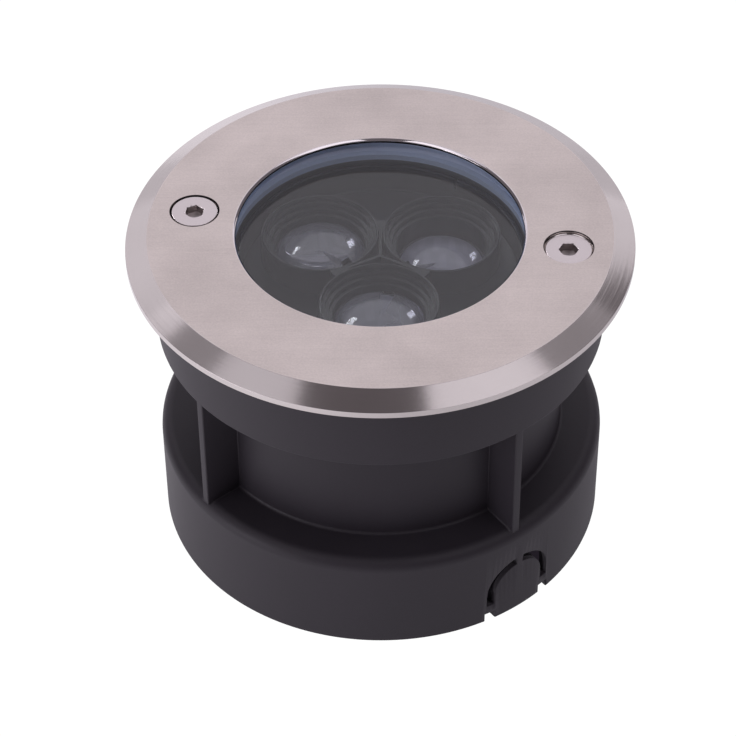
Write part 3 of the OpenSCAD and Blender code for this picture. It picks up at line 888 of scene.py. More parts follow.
def dress(made: Object, finishes: Iterable[Finish]) -> None:
    """Puts finishes in an object's material slots.

    Args:
        made: The object.
        finishes: Its finishes, in the order of the slots.
    """
    slots = made.data.materials
    for index, finish in enumerate(finishes):
        if index < len(slots):
            slots[index] = finish.material()
        else:
            slots.append(finish.material())


def settle(made: Object, body: str, node: str, slot: str, *finishes: Finish) -> Object:
    """Dresses a finished piece and gives it its place in the frame.

    Args:
        made: The piece.
        body: The CAD body that it rides on.
        node: The CAD node that it stands for.
        slot: The record's material slot. It is not used.
        finishes: Its materials.

    Returns:
        The same piece.
    """
    dress(made, finishes)
    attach(made, body)
    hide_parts(node)
    LOG.info("%s stands for %s, %d faces", made.name, node, len(made.data.polygons))
    return made


# Pieces


@dataclass
class TrimRing:
    """The satin steel ring with its chamfer, window and countersunk holes."""

    top: float = 84.0  # Height of the top face
    under: float = RIM_Z
    outer_r: float = 60.0
    edge_z: float = 81.3  # Height at which the chamfer meets the upright edge
    flat_r: float = 54.9  # Radius at which the chamfer starts
    window_r: float = 34.0
    bore_edge: float = 0.5  # The broken edge round the window
    pocket_r: float = 38.5  # Radius of the pocket for the gasket
    pocket_z: float = 82.9  # Height of the pocket's roof
    hole_r: float = 3.3  # Radius of a screw hole
    counter_r: float = 5.75  # Radius of a head recess
    counter_z: float = 83.2  # Height at which the recess turns into its cone
    lip: float = 0.2  # Width of the lip round a head recess, painted near-black as painted shade of the gap round the head
    fix_r: float = 1.55  # Radius of a threaded hole in the underside
    fix_top: float = 82.6  # Height at which a threaded hole ends

    def recess(self, angle: float) -> Shape:
        """The shape that cuts one countersunk hole.

        Args:
            angle: The hole's angle, in degrees.

        Returns:
            The shape.
        """
        drop = self.counter_r - self.hole_r
        section = [
            Corner(0.0, self.under - PAST),
            Corner(self.hole_r, self.under - PAST),
            Corner(self.hole_r, self.counter_z - drop),
            Corner(self.counter_r, self.counter_z),
            Corner(self.counter_r, self.top - self.lip),
            Corner(self.counter_r + 2 * self.lip, self.top + self.lip),
            Corner(0.0, self.top + self.lip),
        ]
        return Shape().turn_section(section, 96, polar(angle, SCREW_R))

    def build(self) -> Object:
        """Spins the ring and cuts its holes.

        Returns:
            The finished piece.
        """
        section = [
            Corner(self.window_r, self.top - self.bore_edge, 0.06, 2),
            Corner(self.window_r + self.bore_edge, self.top, 0.08, 2),
            Corner(self.flat_r, self.top, 0.06, 2),
            Corner(self.outer_r, self.edge_z, 0.04, 2),
            Corner(self.outer_r, self.under, 0.3),
            Corner(self.pocket_r, self.under, 0.15),
            Corner(self.pocket_r, self.pocket_z, 0.1),
            Corner(self.window_r, self.pocket_z, 0.15),
        ]
        made = Shape().turn_section(section, 360).to_object("trim_ring_dressed")
        fixings = [
            bore(polar(45.0 + 90.0 * k, SCREW_R), self.fix_r, self.under - PAST, self.fix_top)
            for k in range(4)
        ]
        combine(made, [self.recess(0.0), self.recess(180.0), *fixings], "DIFFERENCE")
        sort_faces(made, self.finish_index)
        finishes = (
            Finishes.ring_face, Finishes.ring_edge, Finishes.ring_bore, Finishes.ring_lip
        )
        return settle(weighted(made), LAMP, "trim_ring", "satin_steel", *finishes)

    def finish_index(self, spot: Vector) -> int:
        """Which finish a face has: 0 on top, 3 on a recess's lip, 2 in the window, 1 elsewhere.

        Args:
            spot: The face's centre, in millimetres.

        Returns:
            The finish's place in the list.
        """
        near_top, near_bore = self.top - 0.002, self.window_r + self.bore_edge + 0.1
        to_screw = min((spot.xy - Vector(polar(side, SCREW_R))).length for side in (0.0, 180.0))
        if spot.z > near_top:
            return 0
        # A recess's lip is painted near-black, as painted shade of the gap round the head
        if spot.z > self.top - self.lip and to_screw < self.counter_r + 2 * self.lip:
            return 3
        return 2 if spot.xy.length < near_bore else 1


@dataclass
class Window:
    """The thick clear glass under the ring, with a ground edge between polished faces."""

    radius: float = 36.5  # A hair inside its gasket
    under: float = 74.56
    top: float = 82.54
    arris: float = 0.4  # The ground arris on its edges

    def build(self) -> Object:
        """Spins the glass.

        Returns:
            The finished piece.
        """
        section = [
            Corner(0.0, self.under),
            Corner(self.radius, self.under, self.arris, 2),
            Corner(self.radius, self.top, self.arris, 2),
            Corner(0.0, self.top),
        ]
        shape = Shape().turn_section(section, 256)
        for face in shape.bm.faces:
            face.material_index = 1 if abs(face.normal.z) < 0.9 else 0
        made = weighted(shape.to_object("window_glass_dressed"))
        finishes = (Finishes.glass, Finishes.glass_edge)
        return settle(made, LAMP, "window_glass", "clear_glass", *finishes)


@dataclass
class CoverScrew:
    """A countersunk cover screw with a hexagonal key socket."""

    word: str  # right or left
    head_top: float
    key_turn: float  # Turn of its key socket, in degrees
    head_r: float = 5.45
    shank_r: float = 3.0  # Radius of its thread's crest
    tip: float = 19.9  # Distance from its head to its tip
    head_rim: float = 0.3  # Height of its head's upright rim
    key_af: float = 4.0  # Width over the socket's flats
    key_depth: float = 1.9
    drill: float = 0.7  # Depth of the drilled point below the socket
    mouth: float = 0.16  # Depth of the socket's countersunk mouth

    def centre(self) -> tuple:
        """X and Y of the screw's axis."""
        return (SCREW_R if self.word == "right" else -SCREW_R, 0.0)

    def head(self) -> Shape:
        """The head and shank, turned.

        Returns:
            The shape.
        """
        top, low = self.head_top, self.head_top - self.head_rim
        neck = low - (self.head_r - self.shank_r)
        section = [
            Corner(0.0, top),
            Corner(self.head_r, top, 0.15),
            Corner(self.head_r, low, 0.06, 2),
            Corner(self.shank_r, neck, 0.2),
            Corner(self.shank_r, top - self.tip, 0.5, 1),
            Corner(0.0, top - self.tip),
        ]
        return Shape().turn_section(section, 96, self.centre())

    def socket(self) -> Shape:
        """The key socket: a hexagon with a drilled point and a countersunk mouth.

        Returns:
            The shape that cuts it.
        """
        shape = Shape()
        across = self.key_af / math.cos(math.radians(30)) / 2
        turn = self.key_turn + (180 if self.word == "left" else 0)
        for low, high, r_low, r_high, sides in (
            (self.key_depth, -0.5, across, across, 6),
            (self.key_depth + self.drill, self.key_depth - 0.01, 0.05, self.key_af / 2, 24),
            (self.mouth, -0.1, across * 0.93, across * 1.1, 24),
        ):
            made = bmesh.new()
            bmesh.ops.create_cone(
                made,
                cap_ends=True,
                segments=sides,
                radius1=r_low,
                radius2=r_high,
                depth=low - high,
            )
            shape.take(
                made,
                Matrix.Translation((*self.centre(), 0.0)) @ around(turn),
                Matrix.Translation((0.0, 0.0, self.head_top - (low + high) / 2)),
                around(90 if sides == 6 else 0),
            )
        return shape

    def build(self) -> Object:
        """Turns the screw and sinks its socket.

        Returns:
            The finished piece.
        """
        made = self.head().to_object(f"cover_screw_{self.word}_dressed")
        combine(made, [self.socket()], "DIFFERENCE", crossing=True)
        sort_faces(made, lambda spot: int(self.in_socket(spot)))
        face = Finishes.screw_face(self.word, tuple(c * MM for c in self.centre()))
        node, body = f"cover_screw_{self.word}", f"{self.word}_screw"
        return settle(weighted(made), body, node, "screw_steel", face, Finishes.screw_socket)

    def in_socket(self, spot: Vector) -> bool:
        """Whether a point, in millimetres, lies in the key socket."""
        near = (spot.xy - Vector(self.centre())).length < self.key_af * 0.52
        return near and spot.z < self.head_top - 0.05


@dataclass(frozen=True)
class Cup:
    """One of the lens holder's cups."""

    word: str  # left, right or front
    angle: float
    drop: float  # Depth of its lens's edge under its rim
    circle_r: float = 16.75  # Distance from the axis
    key_turn: float = -11.5  # The angle of stop and notch, off the line from it to the axis

    def centre(self) -> tuple:
        """X and Y of its middle."""
        return polar(self.angle, self.circle_r)

    def place(self) -> Matrix:
        """Its middle, with the axis on -X."""
        return around(self.angle) @ Matrix.Translation((self.circle_r, 0.0, 0.0))

    def key_place(self) -> Matrix:
        """Its middle, with its stop and its lens's notch on -X."""
        return self.place() @ around(self.key_turn)


CUPS = (Cup("left", 157.95, 5.75), Cup("right", 37.95, 9.35), Cup("front", -82.05, 5.75))


@dataclass
class LensHolder:
    """The black moulding with three stepped cups under the glass."""

    floor_z: float = 64.75  # Height of the floor's top
    floor_under: float = 62.75
    cup_under: float = 60.0  # Height of the cups' lower ends
    cup_r: float = 14.05
    mouth_r: float = 13.45  # Radius of a cup's mouth
    bore_r: float = 10.85  # Radius of a cup's bore
    seat_r: float = 9.4  # Radius of the hole under a lens
    mouth_depth: float = 3.95
    steps: int = 3  # Number of steps in the mouth
    lens_edge: float = 1.6  # Height of a lens's edge
    stop_w: float = 2.4  # Width of the stop in a lens's notch
    stop_reach: float = 2.8  # Reach of a stop from the bore
    stop_rise: float = 0.3  # Height of a stop above its lens's edge
    stop_root: float = 0.4  # How far a stop reaches into its cup's wall
    outer_r: float = 34.5
    wall: float = 1.1  # Wall of the rim
    rim_rise: float = 0.15  # Height of the rim above the cups
    slot_angle: float = 65.45
    slot_w: float = 0.5
    slot_reach: float = 1.65  # Half the length of a slot in the rim
    slot_drop: float = 2.85  # Depth of a slot
    web_angle: float = -22.05  # Angle of a web, and of the post beyond it
    web_half: float = 0.35  # Half the thickness of a web
    flare_half: float = 1.3  # Half the thickness of a web's flared end
    flare: float = 4.6  # Length of the flare
    post_bore: float = 1.55
    post_r: float = 3.4
    post_circle_r: float = 26.0
    sunk: float = 0.5  # How far webs and posts reach into the floor

    def cup(self, cup: Cup) -> Shape:
        """One cup: a stepped mouth, a bore and a ledge under the lens.

        Args:
            cup: Its place and depth.

        Returns:
            The shape.
        """
        seat = HOLDER_Z - cup.drop - self.lens_edge
        taper = (self.mouth_r - self.bore_r) / self.steps
        section = [
            Corner(self.cup_r, self.cup_under, 0.2),
            Corner(self.cup_r, HOLDER_Z, 0.26),
            Corner(self.mouth_r, HOLDER_Z, 0.26),
        ]
        for k in range(1, self.steps + 1):
            z = HOLDER_Z - self.mouth_depth / self.steps * k
            section.append(Corner(self.mouth_r - taper * (k - 1), z, 0.06, 2))
            section.append(Corner(self.mouth_r - taper * k, z, 0.06, 2))
        section += [
            Corner(self.bore_r, seat, 0.1, 2),
            Corner(self.seat_r, seat, 0.1, 2),
            Corner(self.seat_r, self.cup_under, 0.2),
        ]
        return Shape().turn_section(section, 128, cup.centre())

    def floor(self) -> Object:
        """The floor and rim, with a hole for each cup and a slot past each post.

        Returns:
            The object.
        """
        rim = HOLDER_Z + self.rim_rise
        section = [
            Corner(0.0, self.floor_under),
            Corner(self.outer_r, self.floor_under, 0.3),
            Corner(self.outer_r, rim, 0.25),
            Corner(self.outer_r - self.wall, rim, 0.25),
            Corner(self.outer_r - self.wall, self.floor_z, 0.5),
            Corner(0.0, self.floor_z),
        ]
        made = Shape().turn_section(section, 192).to_object("lens_holder_dressed")
        middle = (self.cup_r + self.mouth_r) / 2
        low, high = self.floor_under - PAST, self.floor_z + PAST
        holes = [bore(cup.centre(), middle, low, high) for cup in CUPS]
        slots = [
            Shape().add_box(
                (self.outer_r - self.slot_reach, -self.slot_w / 2, HOLDER_Z - self.slot_drop),
                (self.outer_r + self.slot_reach, self.slot_w / 2, HOLDER_Z + 3 * PAST),
                turn=self.slot_angle + 120 * k,
            )
            for k in range(3)
        ]
        return combine(made, [*holes, *slots], "DIFFERENCE")

    def webs(self) -> Shape:
        """The thin webs between the cups, which flare where the cups part.

        Returns:
            The shape.
        """
        shape = Shape()
        neck, thin, thick = CUPS[0].circle_r / 2, self.web_half, self.flare_half
        end = neck + self.flare
        half = [(0, thin), (neck, thin), (end, thick)]
        outline = [(x, -y) for x, y in half] + half[::-1]
        foot = Matrix.Translation((0, 0, self.floor_z - self.sunk))
        for k in range(3):
            shape.extrude_outline(
                outline,
                [0, 0.8, 0.4, 0.4, 0.8, 0],
                HOLDER_Z - self.floor_z + self.sunk,
                foot @ around(self.web_angle + 120 * k),
            )
        return shape

    def posts(self) -> Shape:
        """The posts that stand on the light board, bored for their screws.

        Returns:
            The shape.
        """
        shape = Shape()
        top = self.floor_under + self.sunk
        section = [
            Corner(self.post_bore, BOARD_Z, 0.2),
            Corner(self.post_r, BOARD_Z, 0.3),
            Corner(self.post_r, top),
            Corner(self.post_bore, top),
        ]
        for k in range(3):
            centre = polar(self.web_angle + 120 * k, self.post_circle_r)
            shape.turn_section(section, 48, centre)
        return shape

    def stops(self) -> Shape:
        """The stop that stands in each lens's notch, on the side next to the axis.

        Returns:
            The shape.
        """
        shape = Shape()
        half = self.stop_w / 2
        for cup in CUPS:
            made = Shape().add_box(
                (-self.bore_r - self.stop_root, -half, self.cup_under),
                (self.stop_reach - self.bore_r, half, HOLDER_Z - cup.drop + self.stop_rise),
                0.15,
            )
            shape.take(made.bm, cup.key_place())
        return shape

    def build(self) -> Object:
        """Joins floor, cups, webs, posts and stops in one piece.

        Returns:
            The finished piece.
        """
        floor = self.floor()
        whole = Shape()
        whole.bm.from_mesh(floor.data)
        bmesh.ops.scale(whole.bm, verts=whole.bm.verts, vec=(1 / MM, 1 / MM, 1 / MM))
        bpy.data.objects.remove(floor)
        for part in (*map(self.cup, CUPS), self.webs(), self.posts(), self.stops()):
            whole.take(part.bm)
        made = weighted(whole.to_object("lens_holder_dressed"))
        return settle(made, LAMP, "lens_holder", "holder_black", Finishes.holder_black)


@dataclass
class Lens:
    """A clear domed lens with a notch in its edge."""

    cup: Cup
    radius: float = 10.6
    edge: float = 1.6  # Height of its edge
    dome: float = 3.6  # Height of its dome
    notch_w: float = 2.6
    notch_r: float = 7.95  # Distance of the notch's floor from the lens's middle

    def edge_z(self) -> float:
        """Height at which its dome starts."""
        return HOLDER_Z - self.cup.drop

    def body(self) -> Shape:
        """Spins an arc into the dome, and closes it below.

        Returns:
            The shape.
        """
        made = bmesh.new()
        sphere = (self.radius**2 + self.dome**2) / (2 * self.dome)
        start = made.verts.new((0.0, 0.0, self.edge_z() + self.dome))
        bmesh.ops.spin(
            made,
            geom=[start],
            cent=(0.0, 0.0, self.edge_z() + self.dome - sphere),
            axis=(0.0, 1.0, 0.0),
            angle=math.asin(self.radius / sphere),
            steps=24,
        )
        made.verts.ensure_lookup_table()
        last = max(made.verts, key=lambda v: v.co.x)
        for r in (self.radius, 0.0):
            after = made.verts.new((r, 0.0, self.edge_z() - self.edge))
            made.edges.new((last, after))
            last = after
        middle = Matrix.Translation((*self.cup.centre(), 0.0))
        return Shape().take(full_turn(made, 96), middle)

    def build(self) -> Object:
        """Spins the lens and cuts its notch, whose walls lie against the black stop.

        Returns:
            The finished piece.
        """
        notch = Shape().add_box(
            (-self.radius - PAST, -self.notch_w / 2, self.edge_z() - self.edge - PAST),
            (-self.notch_r, self.notch_w / 2, self.edge_z() + self.dome),
        )
        cutter = Shape().take(notch.bm, self.cup.key_place())
        made = self.body().to_object(f"lens_{self.cup.word}_dressed")
        combine(made, [cutter], "DIFFERENCE")
        sort_faces(made, lambda spot: int(self.in_notch(spot)))
        node = f"lens_{self.cup.word}"
        return settle(made, LAMP, node, "clear_lens", Finishes.lens, Finishes.holder_black)

    def in_notch(self, spot: Vector) -> bool:
        """Whether a face belongs to the notch's walls.

        Args:
            spot: Its centre, in millimetres.

        Returns:
            True for the notch's floor and sides.
        """
        near, half = 0.02, self.notch_w / 2
        spot = self.cup.key_place().inverted() @ spot
        floor = abs(spot.x + self.notch_r) < near and abs(spot.y) < half
        return floor or (abs(abs(spot.y) - half) < near and spot.x < -self.notch_r)


@dataclass
class Emitter:
    """A light source: a ceramic base, a square of phosphor and a clear dome."""

    cup: Cup
    width: float = 5.0
    base: float = 0.8  # Height of its base
    chip: float = 1.8  # Width of its phosphor
    chip_root: float = 0.1  # How far the phosphor reaches into the base
    chip_rise: float = 0.15  # How far it stands above the base
    dome_r: float = 1.7

    def build(self) -> Object:
        """Stacks base, phosphor and dome.

        Returns:
            The finished piece.
        """
        half, chip, top = self.width / 2, self.chip / 2, BOARD_Z + self.base
        shape = Shape().add_box((-half, -half, BOARD_Z), (half, half, top), 0.15)
        low, high = (-chip, -chip, top - self.chip_root), (chip, chip, top + self.chip_rise)
        shape.take(Shape().add_box(low, high, 0.04).bm, paint=1)
        dome = bmesh.new()
        bmesh.ops.create_uvsphere(dome, u_segments=32, v_segments=16, radius=self.dome_r)
        cut = bmesh.ops.bisect_plane(
            dome,
            geom=dome.verts[:] + dome.edges[:] + dome.faces[:],
            plane_co=(0.0, 0.0, 0.0),
            plane_no=(0.0, 0.0, 1.0),
            clear_inner=True,
        )
        rim = [e for e in cut["geom_cut"] if isinstance(e, bmesh.types.BMEdge)]
        bmesh.ops.holes_fill(dome, edges=rim)
        shape.take(dome, Matrix.Translation((0.0, 0.0, top)), paint=2)
        node = f"emitter_{self.cup.word}"
        made = Shape().take(shape.bm, self.cup.place()).to_object(f"{node}_dressed")
        finishes = (Finishes.ceramic, Finishes.phosphor, Finishes.lens)
        return settle(made, LAMP, node, "emitter_yellow", *finishes)


@dataclass(frozen=True)
class KnockOut:
    """A cable knock-out: two arched slots with a bridge between them, and two foot notches."""

    width: float = 18.6
    height: float = 17.9
    slot: float = 2.2  # Width of a slot
    foot: float = 5.4  # Height at which the slots start
    bridge: float = 1.9
    notch_w: float = 3.1
    notch_h: float = 2.9
    depth: float = 10.0  # How far the shape that cuts it reaches outwards

    def cutter(self, angle: float, start_r: float) -> Shape:
        """The shape that cuts it.

        Args:
            angle: Its angle, in degrees.
            start_r: Distance from the axis at which the shape starts.

        Returns:
            The shape.
        """
        outer, inner = self.width / 2, self.width / 2 - self.slot
        spring = self.height - outer
        bridge_turn = math.asin(self.bridge / (outer + inner))
        shape = Shape()
        outwards = around(angle) @ Matrix(
            ((0, 0, 1, start_r), (1, 0, 0, 0), (0, 1, 0, 0), (0, 0, 0, 1))
        )
        for side in (-1, 1):
            made = bmesh.new()
            lowest = [made.verts.new((side * r, self.foot, 0.0)) for r in (inner, outer)]
            made.edges.new(lowest)
            risen = bmesh.ops.extrude_edge_only(made, edges=made.edges[:])["geom"]
            top = [v for v in risen if isinstance(v, bmesh.types.BMVert)]
            bmesh.ops.translate(made, verts=top, vec=(0.0, spring - self.foot, 0.0))
            edges = [e for e in risen if isinstance(e, bmesh.types.BMEdge)]
            bmesh.ops.spin(
                made,
                geom=top + [e for e in edges if all(v in top for v in e.verts)],
                cent=(0.0, spring, 0.0),
                axis=(0.0, 0.0, 1.0),
                angle=side * (math.pi / 2 - bridge_turn),
                steps=16,
            )
            bmesh.ops.remove_doubles(made, verts=made.verts, dist=MERGE_MM)
            shape.take(thickened(made, self.depth), outwards)
            low = side * (outer - self.slot / 2) - self.notch_w / 2
            notch = Shape().add_box(
                (low, -PAST, 0.0), (low + self.notch_w, self.notch_h, self.depth)
            )
            shape.take(notch.bm, outwards)
        return shape


@dataclass
class MountingSleeve:
    """The black moulded sleeve: rim band, ribbed recess, and skirt with knock-outs."""

    band_r: float = 53.7  # Outer radius of the rim band
    band_foot: float = 58.8  # Height of the band's lower edge
    wall: float = 2.6  # Wall of band and skirt
    base_r: float = 54.6  # Outer radius of the skirt
    shelf_z: float = 27.0  # Height of the skirt's shelf
    shoulder: float = 3.0  # Radius of the skirt's shoulder
    cup_r: float = 44.4
    cup_wall: float = 2.4
    shelf: float = 2.6  # Thickness of the shelf
    ledge_z: float = 71.0  # Height of the ledge's top
    ledge: float = 3.0  # Thickness of the ledge
    rib_angles: tuple = (-44.5, 47.1, 135.5, 227.1)
    rib: float = 2.1  # Thickness of a rib
    rib_fillet: float = 0.3
    rib_root: float = 1.4  # How far a rib reaches down into the shelf
    rib_lap: float = 0.7  # How far its front part reaches up into the band
    rib_gap: float = 0.02  # How far its front part lies behind the band's face
    rib_back: float = 1.3  # How far its back part lies behind that face
    rib_drop: float = 1.5  # How far its back part ends below the ledge's top
    boss_r: float = 5.9
    boss_under: float = 61.4
    boss_drop: float = 0.2  # How far a boss ends below the ledge's top
    insert_r: float = 4.3  # Radius of the hole for an insert
    insert_under: float = 63.4  # Height of that hole's floor
    insert_flare: float = 0.3  # How much wider that hole is at its mouth
    pilot_r: float = 3.05  # Radius of the pilot hole under it
    pilot_depth: float = 1.0
    knockouts: tuple = (-43.6, 136.4)  # The knock-outs' angles
    cut_in: float = 5.0  # How far inside the skirt's face their cut starts

    def section(self) -> list:
        """The turned section, from the foot up the outside and down the inside.

        Returns:
            Its corners.
        """
        inner, bore_r = self.cup_r - self.cup_wall, self.band_r - self.wall
        under = self.ledge_z - self.ledge
        roof = self.shelf_z - self.shelf
        return [
            Corner(self.base_r, 0.0, 0.7),
            Corner(self.base_r, self.shelf_z, self.shoulder, 8),
            Corner(self.cup_r, self.shelf_z, 0.8, 4),
            Corner(self.cup_r, under, 0.5),
            Corner(bore_r, under, 0.4),
            Corner(bore_r, self.band_foot, 0.4),
            Corner(self.band_r, self.band_foot, 0.5),
            Corner(self.band_r, RIM_Z, 0.3),
            Corner(bore_r, RIM_Z, 0.3),
            Corner(bore_r, self.ledge_z, 0.4),
            Corner(inner, self.ledge_z, 0.4),
            Corner(inner, roof, 0.4),
            Corner(self.base_r - self.wall, roof, 0.8),
            Corner(self.base_r - self.wall, 0.0, 0.5),
        ]

    def ribs(self) -> Shape:
        """The four upright ribs, with small fillets at their feet.

        Returns:
            The shape.
        """
        shape = Shape()
        half = self.rib / 2
        low = (self.cup_r - PAST, -half, self.shelf_z - self.rib_root)
        for angle in self.rib_angles:
            for reach, top in (
                (self.band_r - self.rib_gap, self.band_foot + self.rib_lap),
                (self.band_r - self.rib_back, self.ledge_z - self.rib_drop),
            ):
                shape.add_box(low, (reach, half, top), self.rib_fillet, angle)
        return shape

    def at_screws(self, *corners: Corner) -> Shape:
        """Turns a section about the axis of each cover screw.

        Args:
            corners: The section, in order round its outline.

        Returns:
            The shape.
        """
        shape = Shape()
        for side in (1, -1):
            shape.turn_section(corners, 64, (side * SCREW_R, 0.0))
        return shape

    def bosses(self) -> Shape:
        """The bosses that hold the threaded inserts.

        Returns:
            The shape.
        """
        top = self.ledge_z - self.boss_drop
        return self.at_screws(
            Corner(0.0, self.boss_under),
            Corner(self.boss_r, self.boss_under, 0.5),
            Corner(self.boss_r, top),
            Corner(0.0, top),
        )

    def wells(self) -> Shape:
        """The seat of each insert, with the pilot hole below it.

        Returns:
            The shape that cuts them.
        """
        low, top = self.insert_under - self.pilot_depth, self.ledge_z + PAST / 2
        return self.at_screws(
            Corner(0.0, low),
            Corner(self.pilot_r, low, 0.1),
            Corner(self.pilot_r, self.insert_under, 0.1),
            Corner(self.insert_r, self.insert_under, 0.1),
            Corner(self.insert_r + self.insert_flare, top),
            Corner(0.0, top),
        )

    def build(self) -> Object:
        """Spins the sleeve, joins ribs and bosses on, and cuts its openings.

        Returns:
            The finished piece.
        """
        made = Shape().turn_section(self.section(), 256).to_object("mounting_sleeve_dressed")
        combine(made, [self.ribs(), self.bosses()], "UNION", crossing=True)
        start = self.base_r - self.cut_in
        slots = [KnockOut().cutter(angle, start) for angle in self.knockouts]
        combine(made, [self.wells(), *slots], "DIFFERENCE", crossing=True)
        black = Finishes.moulded_black
        return settle(weighted(made), SLEEVE, "mounting_sleeve", "moulded_black", black)


@dataclass(frozen=True)
class CarriedOver:
    """The CAD nodes that keep their shape, by their finish."""

    groups: tuple = (
        (Finishes.brass, "threaded_inserts"),
        (Finishes.silicone, "glass_gasket"),
        (Finishes.cast_aluminium, "lamp_body", "lower_cover"),
        (Finishes.zinc, "ring_fixings", "holder_fixings", "driver_fixings", "cover_bolts"),
        (Finishes.zinc, "captive_clip_right", "captive_clip_left"),
        (Finishes.board_white, "light_board"),
        (Finishes.pad_grey, "thermal_pad"),
        (Finishes.lead_red, "lead_positive"),
        (Finishes.lead_black, "lead_negative"),
        (Finishes.board_green, "driver_board"),
        (Finishes.tape, "transformer"),
        (Finishes.shrink_blue, "capacitor_input", "capacitor_output"),
        (Finishes.chip_black, "driver_chip"),
        (Finishes.terminal_green, "terminal_block"),
        (Finishes.rubber, "cover_seal", "gland_washer_ring", "gland_seal"),
        (Finishes.nickel, "gland_body", "gland_nut"),
        (Finishes.nylon, "gland_thrust_ring"),
    )

    def build(self) -> None:
        """Gives each node its finish."""
        for finish, *names in self.groups:
            for name in names:
                dress(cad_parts[name], [finish])
                LOG.info("%s keeps its shape, in %s", name, finish.name)


# Studio


@dataclass(frozen=True)
class Softbox:
    """One large soft lamp."""

    name: str
    place: tuple  # Where it stands in the photograph's axes, in metres
    aim: tuple  # What it faces
    size: tuple
    radiance: float  # Its brightness, where 1 is a white sheet's
    lights_only: tuple = ()  # The only pieces that it lights, or nothing for all
    colour: tuple = (1.0, 0.955, 1.045)

    @classmethod
    def above(cls, name: str, across: tuple, along: tuple, radiance: float) -> "Softbox":
        """A level softbox 1.5 m above the floor.

        Args:
            name: The lamp's name.
            across: Its lowest and highest X.
            along: Its lowest and highest Y.
            radiance: Its brightness.

        Returns:
            The softbox.
        """
        x, y, height = sum(across) / 2, sum(along) / 2, 1.5
        size = (across[1] - across[0], along[1] - along[0])
        return cls(name, (x, y, height), (x, y + 0.001, 0.0), size, radiance)

    def build(self, turn: Matrix) -> None:
        """Adds the lamp to the scene.

        Args:
            turn: The turn from the photograph's axes to the part's.
        """
        lamp = bpy.data.lights.new(self.name, "AREA")
        lamp.shape = "RECTANGLE"
        lamp.size, lamp.size_y = self.size
        lamp.energy = self.radiance * math.pi * self.size[0] * self.size[1]
        lamp.color = self.colour
        made = bpy.data.objects.new(self.name, lamp)
        towards = Vector(self.aim) - Vector(self.place)
        facing = towards.to_track_quat("-Z", "Y").to_matrix().to_4x4()
        made.matrix_world = turn @ Matrix.Translation(self.place) @ facing
        bpy.context.scene.collection.objects.link(made)
        if self.lights_only:
            lit = bpy.data.collections.new(f"{self.name}_lights")
            for name in self.lights_only:
                lit.objects.link(bpy.data.objects[f"{name}_dressed"])
            made.light_linking.receiver_collection = lit


LENSES = tuple(f"lens_{cup.word}" for cup in CUPS)
SHINY = ("window_glass", "lens_holder", *LENSES, "cover_screw_left", "cover_screw_right")
FLOOR = (0.0, 0.0, 0.0)
LAMPS = (
    Softbox("back", (-0.06, 1.5, 1.2), FLOOR, (3.65, 1.9), 0.64),
    Softbox("horizon", (0.0, 2.6, 0.3), (0.0, 0.0, 0.3), (6.0, 0.55), 0.5),
    Softbox.above("above", (-1.9, 1.9), (0.2, 1.0), 0.18),
    Softbox.above("above_left", (-1.87, -0.47), (-0.5, 0.17), 0.54),
    Softbox.above("above_right", (0.26, 1.66), (-0.5, 0.15), 0.72),
    Softbox.above("front_left", (-1.87, -0.47), (-1.3, -0.5), 0.95),
    Softbox.above("front_right", (0.26, 1.66), (-1.3, -0.5), 0.9),
    Softbox("left", (-1.5, -0.75, 0.35), FLOOR, (0.9, 0.6), 3.2),
    Softbox("glint_left", (-1.02, 1.10, 1.31), FLOOR, (0.4, 0.35), 12.0, SHINY),
    Softbox("glint_right", (1.00, 1.36, 0.62), FLOOR, (0.28, 0.28), 12.0, SHINY),
)


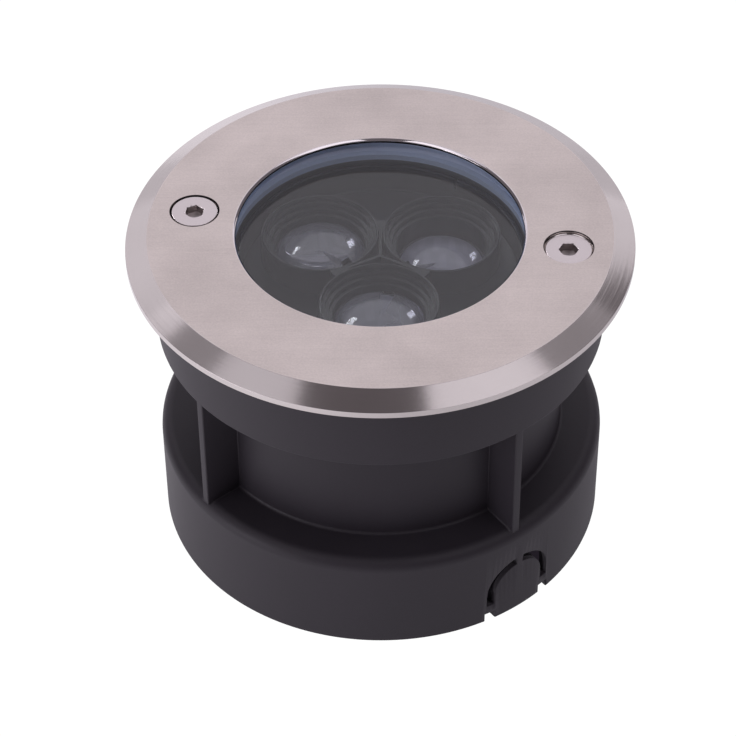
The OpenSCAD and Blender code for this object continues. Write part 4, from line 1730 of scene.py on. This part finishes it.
@dataclass(frozen=True)
class Studio:
    """The pale floor, the soft light and the camera of the photograph."""

    elevation: float = 42.724  # The camera's height above the horizon, in degrees
    roll: float = -0.571  # The camera's roll, in degrees
    aim: tuple = (-0.003163, 0.0, 0.039464)  # What it looks at, before the turn, in metres
    distance: float = 0.66184  # How far it stands from that point
    focal_px: float = 2689.0  # Its focal length in pixels of the photograph
    sensor_mm: float = 36.0
    floor_size: float = 8.0
    floor_gap: float = 0.0002  # How far the floor lies below the sleeve's foot
    shade_r: float = 0.0484  # Within this radius the floor is painted dark, as painted shade under the sleeve

    def camera(self) -> None:
        """Places the camera at the photograph's viewpoint."""
        turn = Matrix.Rotation(math.radians(PHOTO_TURN), 3, "Z")
        rise, roll = math.radians(self.elevation), math.radians(self.roll)
        back = Vector((0.0, -math.cos(rise), math.sin(rise)))
        across = Vector((1.0, 0.0, 0.0))
        up = back.cross(across)
        right = math.cos(roll) * across + math.sin(roll) * up
        top = -math.sin(roll) * across + math.cos(roll) * up
        data = bpy.data.cameras.new("photo_camera")
        data.sensor_width = self.sensor_mm
        data.lens = self.focal_px / FRAME_PX * self.sensor_mm
        data.clip_start, data.clip_end = 0.01, 50.0
        made = bpy.data.objects.new("photo_camera", data)
        axes = Matrix((turn @ right, turn @ top, turn @ back)).transposed()
        spot = turn @ (Vector(self.aim) + self.distance * back)
        made.matrix_world = Matrix.Translation(spot) @ axes.to_4x4()
        bpy.context.scene.collection.objects.link(made)
        bpy.context.scene.camera = made

    def floor(self) -> None:
        """Lays the pale floor under the sleeve."""
        shape = bmesh.new()
        bmesh.ops.create_grid(shape, x_segments=1, y_segments=1, size=self.floor_size / 2)
        mesh = bpy.data.meshes.new("floor")
        shape.to_mesh(mesh)
        shape.free()
        made = bpy.data.objects.new("floor", mesh)
        made.location.z = -self.floor_gap
        bpy.context.scene.collection.objects.link(made)
        mesh.materials.append(self.floor_material())
        made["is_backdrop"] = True

    def floor_material(self) -> bpy.types.Material:
        """White where the camera sees it beside the object. Elsewhere pale grey with a painted
        pool of side light towards the left, and painted shade below the sleeve.

        Returns:
            The floor's material.
        """
        material = bpy.data.materials.new("pale_floor")
        graph = Graph(material)
        x, y, _ = graph.axes()
        turn = math.radians(PHOTO_TURN)
        side = x * math.cos(turn) + y * math.sin(turn)
        # Painted light: the floor's emission brightens it towards the left, as a pool of side
        # light
        painted_side_light = graph.colour(side.ramp(0.02, -0.09), (0.42, 0.405, 0.435), (0.66, 0.635, 0.68))
        beside = graph.radius() > self.shade_r
        matt = graph.principled(
            {
                # Painted shade: within shade_r the floor's colour and emission are near black
                "Base Color": graph.colour(beside, (0.03, 0.03, 0.03), (0.40, 0.39, 0.41)),
                "Roughness": 0.9,
                "Emission Color": graph.colour(beside, (0.015, 0.012, 0.017), painted_side_light),
                "Emission Strength": 1.0,
            }
        )
        white = graph.plain("ShaderNodeEmission", WHITE, 1.05)
        graph.finish(graph.mix(graph.ray("Camera") * beside, matt, white))
        return material

    def world(self) -> None:
        """Fills the room with even pale light, and shows white where the floor ends."""
        world = bpy.data.worlds.new("studio")
        graph = Graph(world, "ShaderNodeOutputWorld")
        pale = graph.plain("ShaderNodeBackground", (1.0, 0.88, 0.98, 1.0), 0.12)
        white = graph.plain("ShaderNodeBackground", WHITE, 1.05)
        graph.finish(graph.mix(graph.ray("Camera"), pale, white))
        bpy.context.scene.world = world

    def build(self) -> None:
        """Sets up the camera, floor and room. The lamps come after the pieces."""
        bpy.context.scene.view_settings.view_transform = "Standard"
        self.camera()
        self.floor()
        self.world()

    def lamps(self) -> None:
        """Hangs the softboxes, of which two small ones glint in the window and on the screws."""
        for lamp in LAMPS:
            lamp.build(around(PHOTO_TURN))


# Main


def corners() -> list:
    """The shown object's lowest and highest corner, as plain numbers."""
    return [list(corner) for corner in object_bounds()]


def main() -> None:
    """Builds the studio and every piece."""
    logging.basicConfig(level=logging.INFO, format="%(relativeCreated)d ms %(name)s: %(message)s")
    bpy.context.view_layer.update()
    studio = Studio()
    studio.build()
    TrimRing().build()
    Window().build()
    LensHolder().build()
    for cup in CUPS:
        Lens(cup).build()
        Emitter(cup).build()
    CoverScrew("right", head_top=83.3, key_turn=7.5).build()
    CoverScrew("left", head_top=83.85, key_turn=30.0).build()
    MountingSleeve().build()
    CarriedOver().build()
    studio.lamps()


if __name__ == "__main__":
    main()
